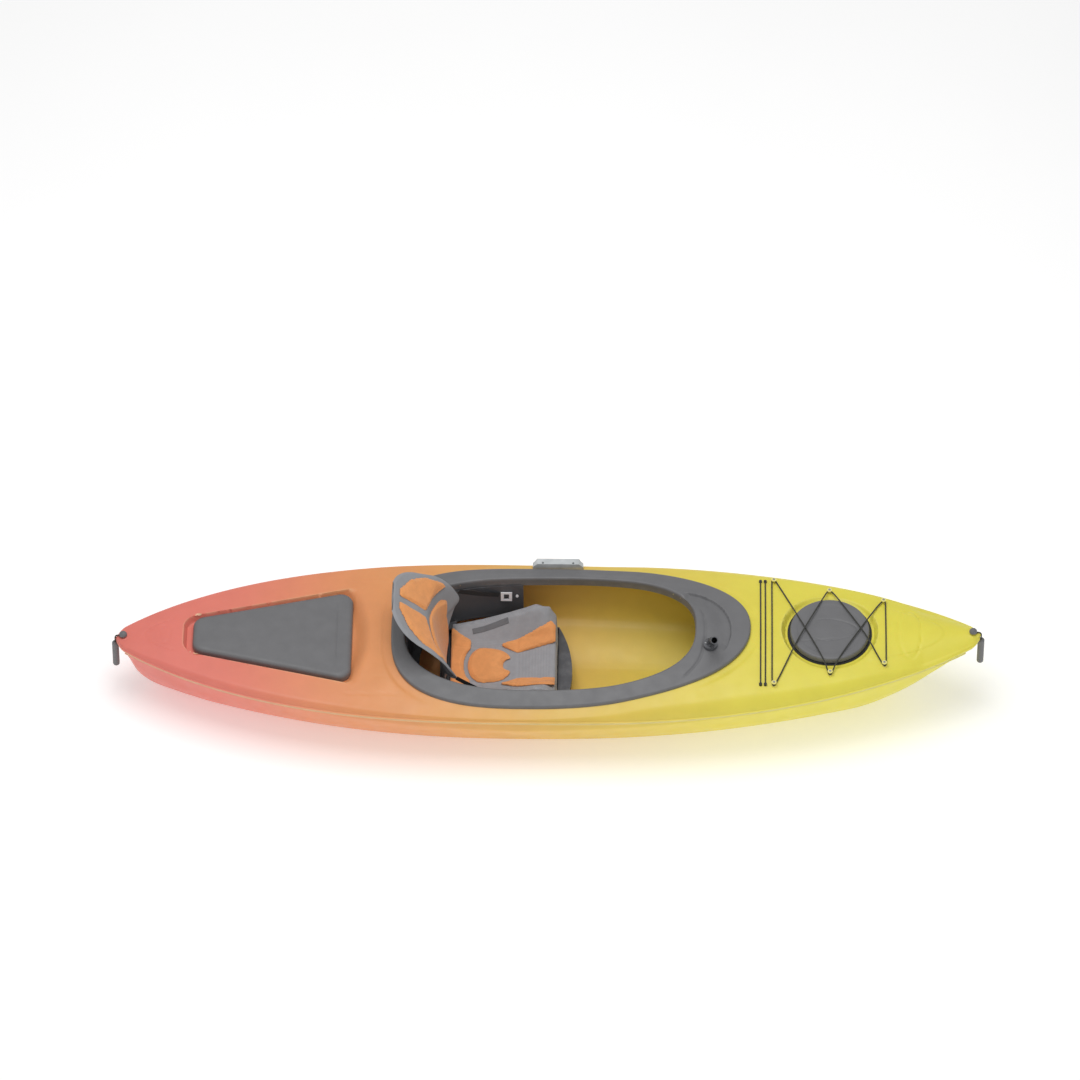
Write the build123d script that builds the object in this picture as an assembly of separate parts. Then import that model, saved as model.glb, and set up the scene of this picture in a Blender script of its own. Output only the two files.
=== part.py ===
"""Sit-inside recreational kayak, as separate pieces in one frame (mm).

+X is the bow, +Y is port, +Z is up. The origin is on the ground under the middle of the boat.
"""
from build123d import *
import math
import os

# ------------------------------------------------------------------ hull and deck
LENGTH = 3050.0            # deck, tip to tip
BEAM = 740.0               # over the seam flanges
WIDEST_X = -100.0          # station of the greatest beam
SEAM_Z = 235.0             # seam height from the stern to amidships
BOW_SEAM_RISE = 65.0       # extra seam height at the bow
FLAT_BOTTOM = 200.0        # width of the flat bottom amidships
WALL = 4.5                 # moulded wall of hull and deck
FLANGE = 4.0               # seam flange, out from the side
FLANGE_HALF_HEIGHT = 5.0
TIP_RADIUS = 31.0          # rounding of the two tips in plan
TIP_OVERRUN = 35.0         # how far beyond the tips the side curves would meet
HALF = LENGTH / 2
STERN_CUTWATER = 36.0      # hull ends this far inside the stern tip
BOW_STEM = 42.0            # and this far inside the bow tip

# ------------------------------------------------------------------ cockpit
COAMING_AFT, COAMING_FORE = -552.0, 716.0
OPENING_AFT, OPENING_FORE = -503.0, 521.0
SIDE_DECK = 45.0           # deck left outboard of the coaming
COAMING_SIDE = 65.0        # width of the coaming at its sides
COAMING_THICK = 12.0
COAMING_SKIRT = 26.0       # how far the coaming reaches down into the deck opening
SKIRT_WALL = 4.0
FIT = 1.0                  # clearance of dropped-in pieces
RUNNING = 0.05             # radial clearance of a pin in a turning part
AIR = 0.4                  # gap between pieces that move past each other

# ------------------------------------------------------------------ seat
SEAT_AFT, SEAT_FORE = -348.0, 37.0
SEAT_HALF_WIDTH = 205.0
SEAT_BASE_Z = 62.0
PAN_WALL = 6.0
PAN_BULGE = 50.0           # how far the pan's round front reaches beyond the cushion
PAN_LIP = 28.0             # height of the pan's wall above its floor
PAD_THICK = 8.0
STRIP_THICK = 2.0
STRIP_TURN = 12.0
SURROUND_FORE = -60.0      # front edge of the side walls
SURROUND_DEPTH = 110.0
SURROUND_LEAN = 14.0       # how far its foot comes inwards
SURROUND_LIP = 28.0        # shelf at its foot, behind the backrest
SURROUND_LIP_FORE = -352.0
HINGE_X, HINGE_Z = -372.0, 105.0
HINGE_PIN_R = 4.0
KNUCKLE_R = 9.0
KNUCKLE_HALF = 40.0
EAR_THICK = 10.0
SHELL_THICK = 9.0
STRAP_WIDTH, STRAP_THICK = 20.0, 2.0

# ------------------------------------------------------------------ hatches
HATCH_X = 995.0
HATCH_LID_R = 140.0
HATCH_LID_Z = 338.0
HATCH_MARGIN = 17.0        # floor of the recess left around the lid
HATCH_RECESS_R = HATCH_LID_R + HATCH_MARGIN
HATCH_RECESS_Z = 312.0
COLLAR_R = HATCH_LID_R - 18
COLLAR_WALL = 5.0
LID_WALL = 4.0
TUB_AFT, TUB_FORE = -1253.5, -691.0
TUB_HALF_AFT, TUB_HALF_FORE = 72.5, 207.5
TUB_RECESS_Z = 246.0
TUB_LID_Z = 281.0
TUB_DEPTH = 140.0
TUB_WALL = 3.0

# ------------------------------------------------------------------ small fittings
CORD_D = 5.0
POST_R = 4.0
POST_HEAD_R = 9.0
SCREW_R = 2.0
SCREW_HEAD_R = 4.0
REST_LENGTH, REST_HEIGHT, REST_WIDTH = 180.0, 28.0, 26.0
REST_X = 32.0
SHAFT_R = 14.7             # paddle shaft groove
ROD_X, ROD_Y = 574.0, -90.0
ROD_BORE_R = 10.5
ROD_TUBE_LENGTH = 98.0
ROD_LEAN, ROD_YAW = 42.0, -80.0
TOGGLE_BOLT_INSET = 24.5   # from the tip to the toggle's bolt
GRIP_R, GRIP_LENGTH = 12.0, 120.0
RAIL_LENGTH, RAIL_HEIGHT, RAIL_THICK = 340.0, 30.0, 10.0
RAIL_X, RAIL_Z = 735.0, 132.0
RAIL_STANDOFF = 24.0       # rail's middle line, in from the hull

parts = {}


def curve(points, x):
    """Smooth value at x through a few (x, value) points, flat beyond both ends."""
    if x <= points[0][0]:
        return points[0][1]
    if x >= points[-1][0]:
        return points[-1][1]
    i = max(k for k in range(len(points) - 1) if points[k][0] <= x)

    def slope(k):
        a, b = points[max(k - 1, 0)], points[min(k + 1, len(points) - 1)]
        return (b[1] - a[1]) / (b[0] - a[0])

    (x0, y0), (x1, y1) = points[i], points[i + 1]
    run = x1 - x0
    t = (x - x0) / run
    return (y0 * (1 + 2 * t) * (1 - t) ** 2 + slope(i) * run * t * (1 - t) ** 2
            + y1 * t * t * (3 - 2 * t) + slope(i + 1) * run * t * t * (t - 1))


# ------------------------------------------------------------------ lines of the boat
def half_breadth(x):
    """Half breadth over the flange: full amidships, fine ends, rounded tips."""
    run = HALF + TIP_OVERRUN - (WIDEST_X if x > WIDEST_X else -WIDEST_X)
    t = abs(x - WIDEST_X) / run
    into_tip = max(0.0, abs(x) - HALF + TIP_RADIUS) / TIP_RADIUS
    return BEAM / 2 * (1 - t ** 2.6) ** 0.85 * math.sqrt(max(0.07, 1 - into_tip ** 2))


def seam_z(x):
    return SEAM_Z + BOW_SEAM_RISE * (max(0.0, x - 200) / (HALF - 200)) ** 1.8


def keel_z(x):
    """Bottom centreline: flat, with a round stern heel and a raked bow stem."""
    aft = [(0, 190), (10, 155), (31, 100), (69, 58), (119, 30), (189, 12), (289, 0)]
    if x < WIDEST_X:
        return curve(aft, x + HALF - STERN_CUTWATER)
    rake = max(0.0, x - (HALF - 445)) / (445 - BOW_STEM)
    return (seam_z(x) - 12) * min(1.0, rake) ** 1.7


def shoulder_inset(x):
    rows = [(-1.0, 8), (-0.85, 20), (-0.53, 20), (-0.34, 10), (-0.07, 5), (0.13, 18),
            (0.24, 31), (0.36, 39), (0.48, 43), (0.6, 37), (0.82, 22), (1.0, 8)]
    return min(curve(rows, x / HALF), 0.35 * half_breadth(x))


def shoulder_z(x):
    rows = [(-1.0, 15), (-0.85, 28), (-0.53, 27), (-0.07, 14), (0.13, 26), (0.24, 47),
            (0.36, 60), (0.48, 68), (0.6, 71), (0.82, 70), (1.0, 23)]
    level = curve(rows, x / HALF)
    return max(SEAM_Z + level, seam_z(x) + 13)


def crown_z(x):
    rows = [(-1.0, 17), (-0.89, 35), (-0.66, 40), (-0.42, 52), (-0.36, 66), (-0.1, 84),
            (0.2, 99), (0.47, 104), (0.65, 98), (0.84, 95), (1.0, 89)]
    return SEAM_Z + curve(rows, x / HALF)


def deck_z(x, y):
    edge = half_breadth(x) - FLANGE - shoulder_inset(x)
    return crown_z(x) - (crown_z(x) - shoulder_z(x)) * min(1.0, (y / edge) ** 2)


def mirrored(side):
    """Close a half outline, given from the seam to the centreline, into a full ring."""
    return side + [(-y, z) for y, z in reversed(side) if abs(y) > 1e-6]


def section(x, points):
    return make_face(Polyline(*[(x, y, z) for y, z in points], close=True))


def deck_section(x, inset, floor):
    """Deck cross-section at x; inset thins it and floor drops its open underside."""
    b = half_breadth(x) - (FLANGE if inset else 0) - inset
    s, lip = seam_z(x), FLANGE_HALF_HEIGHT
    edge = half_breadth(x) - FLANGE - shoulder_inset(x)
    side = [(b, s - floor), (b, s + lip)]
    if not inset:
        side.append((b - FLANGE, s + lip + 1))
    for share in (1.0, 0.75, 0.5, 0.25, 0.0):
        y = edge * share
        side.append((max(0.0, y - inset * 0.8 * share), deck_z(x, y) - inset))
    return section(x, mirrored(side))


def hull_side(x, inset):
    """Half outline below the seam: upright band, two chines and the flat bottom."""
    b = half_breadth(x) - FLANGE - inset
    s, k = seam_z(x), keel_z(x) + inset
    fine = min(1.0, abs(x - WIDEST_X) / HALF) ** 2
    deep = s - keel_z(x)
    band = 0.2 - 0.15 * min(1.0, abs(x - WIDEST_X) / 700)
    flat = min(FLAT_BOTTOM / 2, 0.27 * b)
    side = [(b - 1, s - band * deep - 2)]
    side.append((b * (0.9 - 0.12 * fine), k + (deep - inset) * 0.55))
    side.append((b * (0.77 - 0.3 * fine), k + (deep - inset) * (0.19 + 0.1 * fine)))
    side.append((flat, k))
    return side


def hull_section(x, inset, rise):
    """Whole hull cross-section at x, with its seam flange when it isn't inset."""
    b = half_breadth(x) - FLANGE - inset
    s = seam_z(x)
    top = [(b, s + rise)]
    if not inset:
        top = [(b + FLANGE, s), (b + FLANGE, s - FLANGE_HALF_HEIGHT)]
        top.append((b, s - FLANGE_HALF_HEIGHT - 1))
    return section(x, mirrored(top + hull_side(x, inset)))


def inside_y(x, z):
    """Half width of the room inside the hull at x and height z."""
    side = hull_side(x, WALL)
    for (y1, z1), (y0, z0) in zip(side, side[1:]):
        if z0 <= z <= z1:
            return y0 + (y1 - y0) * (z - z0) / (z1 - z0)
    return side[0][0]


def skin(make, stations, *sizes):
    return loft([make(x, *sizes) for x in stations], ruled=True)


BODY_STATIONS = [-0.75, -0.6, -0.48, -0.36, -0.25, -0.14, -0.03, 0.08, 0.19, 0.3, 0.41,
                 0.52, 0.62, 0.71]
deck_stations = [-HALF, -HALF + 5, -HALF + 14, -HALF + 31, -0.93 * HALF, -0.85 * HALF]
deck_stations += [share * HALF for share in BODY_STATIONS]
deck_stations += [0.8 * HALF, 0.88 * HALF, 0.94 * HALF, HALF - 31, HALF - 14, HALF - 5, HALF]
hull_aft = -HALF + STERN_CUTWATER
hull_stations = [hull_aft, hull_aft + 10, hull_aft + 31, hull_aft + 69, hull_aft + 119,
                 hull_aft + 209]
hull_stations += [share * HALF for share in BODY_STATIONS]
hull_stations += [0.8 * HALF, 0.88 * HALF, 0.94 * HALF, HALF - BOW_STEM - 12]
deck_outer = skin(deck_section, deck_stations, 0.0, 0.0)
deck_inner = skin(deck_section, [x for x in deck_stations if abs(x) < HALF - 60], WALL, 25.0)
hull_outer = skin(hull_section, hull_stations, 0.0, 0.0)
hull_inner = skin(hull_section, [x for x in hull_stations if abs(x) < HALF - 90], WALL, 25.0)


# ------------------------------------------------------------------ outlines and helpers
def oval(aft, fore, half_width, widest, aft_power, fore_power, z):
    """Closed smooth outline, blunter or finer at each end, as a face at height z."""
    points = []
    for i in range(36):
        a = 2 * math.pi * i / 36
        run, power = (fore - widest, fore_power) if math.cos(a) > 0 else (widest - aft, aft_power)
        x = math.copysign(abs(math.cos(a)) ** (2 / power), math.cos(a))
        y = math.copysign(abs(math.sin(a)) ** (2 / power), math.sin(a))
        points.append((widest + run * x, half_width * y, z))
    return make_face(Spline(*points, periodic=True))


def coaming_outline(grow, z):
    return oval(COAMING_AFT - grow, COAMING_FORE + grow, BEAM / 2 - SIDE_DECK + grow,
                -50.0, 3.0, 2.2, z)


def opening_outline(grow, z):
    half = BEAM / 2 - SIDE_DECK - COAMING_SIDE
    return oval(OPENING_AFT - grow, OPENING_FORE + grow, half + grow, -30.0, 2.6, 2.6, z)


def tub_outline(aft, fore, side, z, radius):
    """Trapezoid of the stern compartment; aft, fore and side move its edges outwards."""
    slope = (TUB_HALF_FORE - TUB_HALF_AFT) / (TUB_FORE - TUB_AFT)
    rows = [(TUB_AFT - aft, TUB_HALF_AFT + side - aft * slope)]
    rows.append((TUB_FORE + fore, TUB_HALF_FORE + side + fore * slope * 0.4))
    corners = [(rows[0][0], -rows[0][1]), (rows[1][0], -rows[1][1])]
    corners += [(rows[1][0], rows[1][1]), (rows[0][0], rows[0][1])]
    outline = Polygon(*corners, align=None)
    return Pos(0, 0, z) * fillet(outline.vertices(), radius)


def rod(x, y, z, r, length):
    """Upright cylinder with its foot at x, y, z."""
    return Pos(x, y, z + length / 2) * Cylinder(r, length)


def block(x0, x1, y0, y1, z0, z1):
    middle = Pos((x0 + x1) / 2, (y0 + y1) / 2, (z0 + z1) / 2)
    return middle * Box(x1 - x0, y1 - y0, z1 - z0)


def cord(points, diameter):
    """Round cord: straight runs joined by the largest tangent arcs that fit."""
    path = [Vector(*p) for p in points]
    radii = []
    for a, b, c in zip(path, path[1:], path[2:]):
        half_turn = math.radians((b - a).get_angle(c - b)) / 2
        radii.append(0.45 * min((b - a).length, (c - b).length) / math.tan(half_turn))
    line = FilletPolyline(*path, radius=radii)
    profile = Plane(origin=path[0], z_dir=path[1] - path[0]) * Circle(diameter / 2)
    return sweep(profile, path=line)


def both_sides(shape):
    return Compound([shape, mirror(shape, about=Plane.XZ)])


# ------------------------------------------------------------------ deck with its openings
def make_deck():
    roof = 500.0
    hatch_recess = rod(HATCH_X, 0, HATCH_RECESS_Z, HATCH_RECESS_R, roof)
    hatch_pocket = rod(HATCH_X, 0, HATCH_RECESS_Z - WALL, HATCH_RECESS_R + WALL, roof)
    tub_recess = extrude(tub_outline(40, 68, 20, TUB_RECESS_Z, 40), roof)
    tub_pocket = extrude(tub_outline(40 + WALL, 68 + WALL, 20 + WALL, TUB_RECESS_Z - WALL, 44), roof)
    tub_hole = extrude(tub_outline(-26, -26, -26, 0, 20), roof)
    hatch_hole = rod(HATCH_X, 0, 0, COLLAR_R + FIT, roof)
    cockpit = extrude(opening_outline(SKIRT_WALL + FIT, 0), roof)
    solid = deck_outer - hatch_recess - tub_recess
    void = deck_inner - hatch_pocket - tub_pocket
    return solid - void - hatch_hole - tub_hole - cockpit


deck_shell = make_deck()
parts["deck_shell"] = deck_shell
parts["hull_shell"] = hull_outer - hull_inner


# ------------------------------------------------------------------ cockpit pieces
def make_coaming():
    """Ring that follows the deck, with a skirt down into the opening."""
    raised = Pos(0, 0, COAMING_THICK) * deck_outer
    ring = extrude(coaming_outline(0, 0), 500) - extrude(opening_outline(0, 0), 500)
    skirt = extrude(opening_outline(SKIRT_WALL, 0), 500) - extrude(opening_outline(0, 0), 500)
    low = (Pos(0, 0, -COAMING_SKIRT) * deck_outer)
    return (ring & raised) - deck_outer + ((skirt & raised) - low)


parts["cockpit_coaming"] = make_coaming()


def make_surround():
    """U-shaped wall under the coaming, around the back half of the cockpit."""
    top = SEAM_Z - 8
    low = top - SURROUND_DEPTH
    outer = loft([opening_outline(-2, top), opening_outline(-2 - SURROUND_LEAN, low)])
    inner = loft([opening_outline(-2 - SKIRT_WALL, top),
                  opening_outline(-2 - SKIRT_WALL - SURROUND_LEAN, low)])
    front = block(SURROUND_FORE, 900, -400, 400, 0, 400)
    foot = 2 + SKIRT_WALL / 2 + SURROUND_LEAN
    lip = extrude(opening_outline(-foot, low), SKIRT_WALL)
    lip -= extrude(opening_outline(-foot - SURROUND_LIP, low), SKIRT_WALL)
    return outer - inner - front + (lip - block(SURROUND_LIP_FORE, 900, -400, 400, 0, 400))


parts["seat_surround"] = make_surround()


def cushion_section(x, centre, bolster, share, lift):
    w = SEAT_HALF_WIDTH * share
    side = [(w, SEAT_BASE_Z), (w, bolster + lift - 8), (w - 12, bolster + lift)]
    side += [(110, centre + 12 + lift), (80, centre + lift), (0, centre + lift)]
    return section(x, mirrored(side))


# rows of the cushion: share of its length, middle height, bolster height, share of its width
SEAT_ROWS = [(0.0, 118, 160, 0.86), (0.3, 118, 172, 0.97), (0.62, 121, 215, 1.0),
             (0.78, 134, 240, 1.0), (0.93, 148, 230, 0.99), (1.0, 154, 190, 0.96)]


def cushion(lift):
    run = SEAT_FORE - SEAT_AFT
    rows = [cushion_section(SEAT_AFT + run * s, c, b, w, lift) for s, c, b, w in SEAT_ROWS]
    return loft(rows, ruled=True)


seat_cushion = cushion(0.0)
parts["seat_cushion"] = seat_cushion


def on_cushion(outline, thickness):
    """Piece of even thickness lying on the cushion inside a plan outline."""
    return (extrude(outline, 400) & cushion(thickness)) - seat_cushion


def polygon(points, radius):
    shape = make_face(Polyline(*points, close=True))
    return fillet(shape.vertices(), radius)


def make_seat_pads():
    thigh = polygon([(-178, 92), (-108, 56), (30, 82), (30, 140), (14, 150)], 8)
    parts["thigh_pad_port"] = on_cushion(thigh, PAD_THICK)
    parts["thigh_pad_starboard"] = mirror(parts["thigh_pad_port"], about=Plane.XZ)
    egg = oval(-286, -125, 84, -232, 2.0, 2.6, 0)
    bite = Pos(-125, 0) * Circle(30)
    parts["centre_pad"] = on_cushion(egg - bite, PAD_THICK)
    rear = polygon([(-346, -150), (-272, -110), (-272, 110), (-346, 150)], 6)
    rear = rear - oval(-294, -117, 100, -232, 2.0, 2.6, 0)
    parts["rear_pad"] = on_cushion(rear, PAD_THICK)
    strip = Rot(0, 0, STRIP_TURN) * Rectangle(130, 18)
    parts["bolster_strips"] = both_sides(on_cushion(Pos(-205, 150) * strip, STRIP_THICK))


make_seat_pads()


def make_pan():
    """Tray under the cushion with a round front and two ears for the backrest pin."""
    w = SEAT_HALF_WIDTH + PAN_WALL
    base = SEAT_BASE_Z - PAN_WALL
    left = (SEAT_AFT - PAN_WALL - 24, w - 60, base)
    corner = (SEAT_FORE + 1, w, base)
    front = (SEAT_FORE + PAN_BULGE, 0, base)
    back = [(left[0], -left[1], base), left, (SEAT_AFT, w, base), corner]
    outline = Polyline(*back) + ThreePointArc(corner, front, (corner[0], -w, base))
    outline += Polyline((corner[0], -w, base), (SEAT_AFT, -w, base), back[0])
    tray = extrude(make_face(outline), PAN_WALL + PAN_LIP)
    room = block(SEAT_AFT - 0.5, SEAT_FORE + 0.5, -w + PAN_WALL - 0.5, w - PAN_WALL + 0.5,
                 SEAT_BASE_Z, 500)
    tray -= room
    tray -= block(left[0] - 1, SEAT_AFT - PAN_WALL, -w, w, SEAT_BASE_Z, 500)
    ear_y = KNUCKLE_HALF + AIR + EAR_THICK / 2
    ear = block(HINGE_X - KNUCKLE_R, HINGE_X + KNUCKLE_R, ear_y - EAR_THICK / 2,
                ear_y + EAR_THICK / 2, base, HINGE_Z)
    ear += Pos(HINGE_X, ear_y, HINGE_Z) * Rot(90, 0, 0) * Cylinder(KNUCKLE_R, EAR_THICK)
    tray = tray + ear + mirror(ear, about=Plane.XZ)
    pin_hole = Pos(HINGE_X, 0, HINGE_Z) * Rot(90, 0, 0) * Cylinder(HINGE_PIN_R, 300)
    return tray - pin_hole


parts["seat_pan"] = make_pan()
pin_half = KNUCKLE_HALF + AIR + EAR_THICK + 2
hinge_pin = Pos(HINGE_X, 0, HINGE_Z) * Rot(90, 0, 0) * Cylinder(HINGE_PIN_R, 2 * pin_half)
parts["backrest_pin"] = hinge_pin
riser = block(SEAT_AFT + 40, SEAT_FORE - 40, 55, 95, 0, SEAT_BASE_Z - PAN_WALL)
parts["seat_risers"] = both_sides(riser & hull_inner)

# rows of the backrest: height, middle x, half width, how far the sides come forward
BACK_ROWS = [(96, -371, 84, 4), (150, -368, 96, 10), (200, -377, 112, 26), (246, -388, 168, 62),
             (262, -392, 186, 82), (300, -401, 192, 76), (342, -411, 190, 61),
             (384, -424, 184, 34), (421, -458, 165, 10), (455, -499, 130, 5), (488, -538, 60, 2)]


def back_row(z, middle, half, wrap, lift):
    """Curved band across the backrest at one height."""
    thick = SHELL_THICK * (1.45 if middle < -440 else 1.05)
    face, rear = middle + lift, middle - thick
    front = ThreePointArc((face + wrap, -half, z), (face, 0, z), (face + wrap, half, z))
    back = ThreePointArc((rear + wrap, half, z), (rear, 0, z), (rear + wrap, -half, z))
    ends = Line(front @ 1, back @ 0) + Line(back @ 1, front @ 0)
    return make_face(front + back + ends)


def backrest(lift):
    return loft([back_row(z, m, h, wrap, lift) for z, m, h, wrap in BACK_ROWS], ruled=True)


def make_backrest():
    shell = backrest(0)
    raised = backrest(PAD_THICK)
    knuckle = Pos(HINGE_X, 0, HINGE_Z) * Rot(90, 0, 0) * Cylinder(KNUCKLE_R, 2 * KNUCKLE_HALF)
    bore = Pos(HINGE_X, 0, HINGE_Z) * Rot(90, 0, 0) * Cylinder(HINGE_PIN_R + RUNNING, 400)
    notch = block(HINGE_X - 40, HINGE_X + 40, KNUCKLE_HALF, 200, 0, HINGE_Z + KNUCKLE_R + 4)
    body = shell - notch - mirror(notch, about=Plane.XZ) + knuckle - bore
    upper = [(10, 478), (44, 478), (118, 448), (158, 414), (176, 362), (168, 346), (10, 392)]
    lower = [(-132, 330), (-152, 318), (-158, 296), (-120, 262), (-88, 190), (-80, 142),
             (80, 142), (88, 190), (120, 262), (158, 296), (152, 318), (132, 330), (0, 372)]

    def pad(rows, radius):
        outline = Plane.YZ.offset(-700) * polygon(rows, radius)
        return (extrude(outline, 500) & raised) - shell

    parts["backrest_shell"] = body
    parts["upper_pad_port"] = pad(upper, 9)
    parts["upper_pad_starboard"] = mirror(parts["upper_pad_port"], about=Plane.XZ)
    parts["lower_pad"] = pad(lower, 8)


make_backrest()


def band(start, end, width, thick):
    """Flat strap between two points, its width as upright as it can be."""
    a, b = Vector(*start), Vector(*end)
    along = (b - a).normalized()
    across = along.cross(Vector(0, 0, 1)).normalized()
    plane = Plane(origin=(a + b) * 0.5, x_dir=along, z_dir=across)
    return plane * Box((b - a).length, width, thick)


wall_y = BEAM / 2 - SIDE_DECK - COAMING_SIDE - 16
parts["side_strap_port"] = band((-318, 203, 285), (-176, wall_y - 4, 226), STRAP_WIDTH, STRAP_THICK)
parts["side_strap_starboard"] = mirror(parts["side_strap_port"], about=Plane.XZ)
buckle = Box(40, 5, 36) - Box(18, 9, 22)
parts["side_buckles"] = both_sides(Pos(-150, wall_y - 4, 218) * Rot(-12, 0, 0) * buckle)
parts["strap_rivets"] = both_sides(Pos(-112, wall_y - 1, 218) * Rot(78, 0, 0) * Cylinder(5, 4))
parts["rear_straps"] = both_sides(band((-400, 128, 214), (-420, 138, 170), 18, STRAP_THICK))
parts["rear_buckles"] = both_sides(Pos(-414, 146, 196) * Rot(0, 0, -40) * Box(20, 4, 24))

# ------------------------------------------------------------------ bow hatch
collar_low = HATCH_RECESS_Z - 26
collar_high = HATCH_LID_Z - LID_WALL - 4
hatch_rim = rod(HATCH_X, 0, HATCH_RECESS_Z, HATCH_RECESS_R - 8, 3)
hatch_rim += rod(HATCH_X, 0, collar_low, COLLAR_R, collar_high - collar_low)
parts["bow_hatch_rim"] = hatch_rim - rod(HATCH_X, 0, 0, COLLAR_R - COLLAR_WALL, 500)
seal = rod(HATCH_X, 0, collar_high, COLLAR_R, 4 - AIR)
parts["bow_hatch_seal"] = seal - rod(HATCH_X, 0, 0, COLLAR_R - COLLAR_WALL, 500)
lid_low = HATCH_RECESS_Z + 3 + 2
hatch_lid = rod(HATCH_X, 0, lid_low, HATCH_LID_R, HATCH_LID_Z - lid_low)
hatch_lid = chamfer(hatch_lid.edges().sort_by(Axis.Z)[-1], 3)
hatch_room = rod(HATCH_X, 0, 0, HATCH_LID_R - LID_WALL, HATCH_LID_Z - LID_WALL)
parts["bow_hatch_lid"] = hatch_lid - hatch_room

# ------------------------------------------------------------------ stern compartment
flange_z = TUB_RECESS_Z + 3
tub = extrude(tub_outline(-8, -8, -8, TUB_RECESS_Z, 34), 3)
tub += extrude(tub_outline(-28, -28, -28, TUB_RECESS_Z, 20), -TUB_DEPTH, taper=6)
hollow = tub_outline(-28 - TUB_WALL, -28 - TUB_WALL, -28 - TUB_WALL, flange_z, 18)
parts["stern_tub"] = tub - extrude(hollow, TUB_WALL - TUB_DEPTH - 3, taper=6)
seal = extrude(tub_outline(-12, -12, -12, flange_z, 30), 4)
parts["stern_seal"] = seal - extrude(tub_outline(-20, -20, -20, flange_z, 24), 4)
lid = extrude(tub_outline(0, 0, 0, TUB_RECESS_Z + 2, 42), TUB_LID_Z - TUB_RECESS_Z - 2)
lid = chamfer(lid.faces().sort_by(Axis.Z)[-1].edges(), 6)
ceiling = TUB_LID_Z - LID_WALL
lid -= extrude(tub_outline(-LID_WALL, -LID_WALL, -LID_WALL, 0, 38), ceiling)
rib = extrude(tub_outline(-12, -12, -12, flange_z + 4 + AIR, 30), ceiling - flange_z - 4)
parts["stern_lid"] = lid + rib - extrude(tub_outline(-20, -20, -20, 0, 24), ceiling)


# ------------------------------------------------------------------ bungee, posts and cross cords
def on_deck(shape):
    return shape - deck_outer


ANCHORS = {"L": (HATCH_X - HATCH_RECESS_R - 40, 240.0), "M": (HATCH_X, HATCH_RECESS_R + 33),
           "R": (HATCH_X + HATCH_RECESS_R + 34, 146.0)}
LOOP = [("L", 1, 1), ("L", -1, 1), ("M", 1, -1), ("R", -1, 1), ("R", 1, 1), ("M", -1, -1),
        ("L", 1, 1)]
UPPER_RUNS = (1, 2)        # runs of the loop that pass over the two others
CROSSING_RISE = 6.0
RIM_REACH = 7.0            # the cord bends this far outside the lid's rim
wrap_r = POST_R + CORD_D / 2 + 0.7
POST_FLANGE = 3.0
CORD_HEADROOM = 6.4        # for the cord that climbs away under a post's head
cord_rise = POST_FLANGE + CORD_D / 2 + AIR
POST_GAP = POST_FLANGE + CORD_D + CORD_HEADROOM   # from a post's foot to its head
KNOT_R = 6.5


def bungee_route():
    """Loop round the six posts: two corners at each, and a rise on to the hatch lid."""
    places = [(ANCHORS[name][0], side * ANCHORS[name][1], turn) for name, side, turn in LOOP]
    route = []
    lid_top = HATCH_LID_Z + CORD_D / 2 + 3
    for i, (x, y, turn) in enumerate(places):
        back = places[i - 1] if i else places[-2]
        ahead = places[i + 1] if i + 1 < len(places) else places[1]
        way_in = math.atan2(y - back[1], x - back[0])
        way_out = math.atan2(ahead[1] - y, ahead[0] - x)
        sweep_angle = (way_out - way_in) % (2 * math.pi) if turn > 0 else -(
            (way_in - way_out) % (2 * math.pi))
        for share in (0.25, 0.75):
            if (i == 0 and share < 0.5) or (i == len(places) - 1 and share > 0.5):
                continue
            out = way_in + sweep_angle * share - turn * math.pi / 2
            reach = wrap_r / math.cos(sweep_angle / 4)
            route.append((x + reach * math.cos(out), y + reach * math.sin(out),
                          deck_z(x, y) + cord_rise))
        if i + 1 < len(places) and abs(ahead[0] - x) > 100:
            for share, crosses in crossing_steps(x, y, ahead):
                if i in UPPER_RUNS or not crosses:
                    route.append((x + share * (ahead[0] - x), y + share * (ahead[1] - y),
                                  lid_top + CROSSING_RISE * crosses))
        elif i + 1 < len(places):
            out = x + math.copysign(wrap_r, x - HATCH_X)
            for share in (0.14, 0.32, 0.5, 0.68, 0.86):
                level = y + share * (ahead[1] - y)
                route.append((out, level, deck_z(out, level) + CORD_D / 2 + 1.5))
    return route


def crossing_steps(x, y, ahead):
    """Shares of a run where it meets the lid's rim, passes the middle line and leaves."""
    dx, dy = ahead[0] - x, ahead[1] - y
    run = math.hypot(dx, dy)
    near = -((x - HATCH_X) * dx + y * dy) / run ** 2
    gap = abs((x - HATCH_X) * dy - y * dx) / run
    half = math.sqrt((HATCH_LID_R + RIM_REACH) ** 2 - gap ** 2) / run
    steps = [(near - half, 0.0), (-y / dy, 1.0), (near + half, 0.0)]
    return [(share, crosses) for share, crosses in steps if 0.04 < share < 0.96]


parts["deck_bungee"] = cord(bungee_route(), CORD_D)


def make_knot():
    """Clamp over the two ends of the loop, between the heads of their post."""
    ends = [Vector(*bungee_route()[i]) for i in (0, -1)]
    x, y = ANCHORS["L"]
    foot = deck_z(x, y)
    middle = (ends[0] + ends[1]) * 0.5
    clamp = Pos(middle.X, middle.Y, middle.Z) * Sphere(KNOT_R)
    clamp &= block(x - 50, x + 50, y - 50, y + 50, foot + POST_FLANGE + AIR, foot + POST_GAP - AIR)
    return clamp - rod(x, y, foot, POST_R + AIR, POST_GAP) - parts["deck_bungee"]


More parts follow.
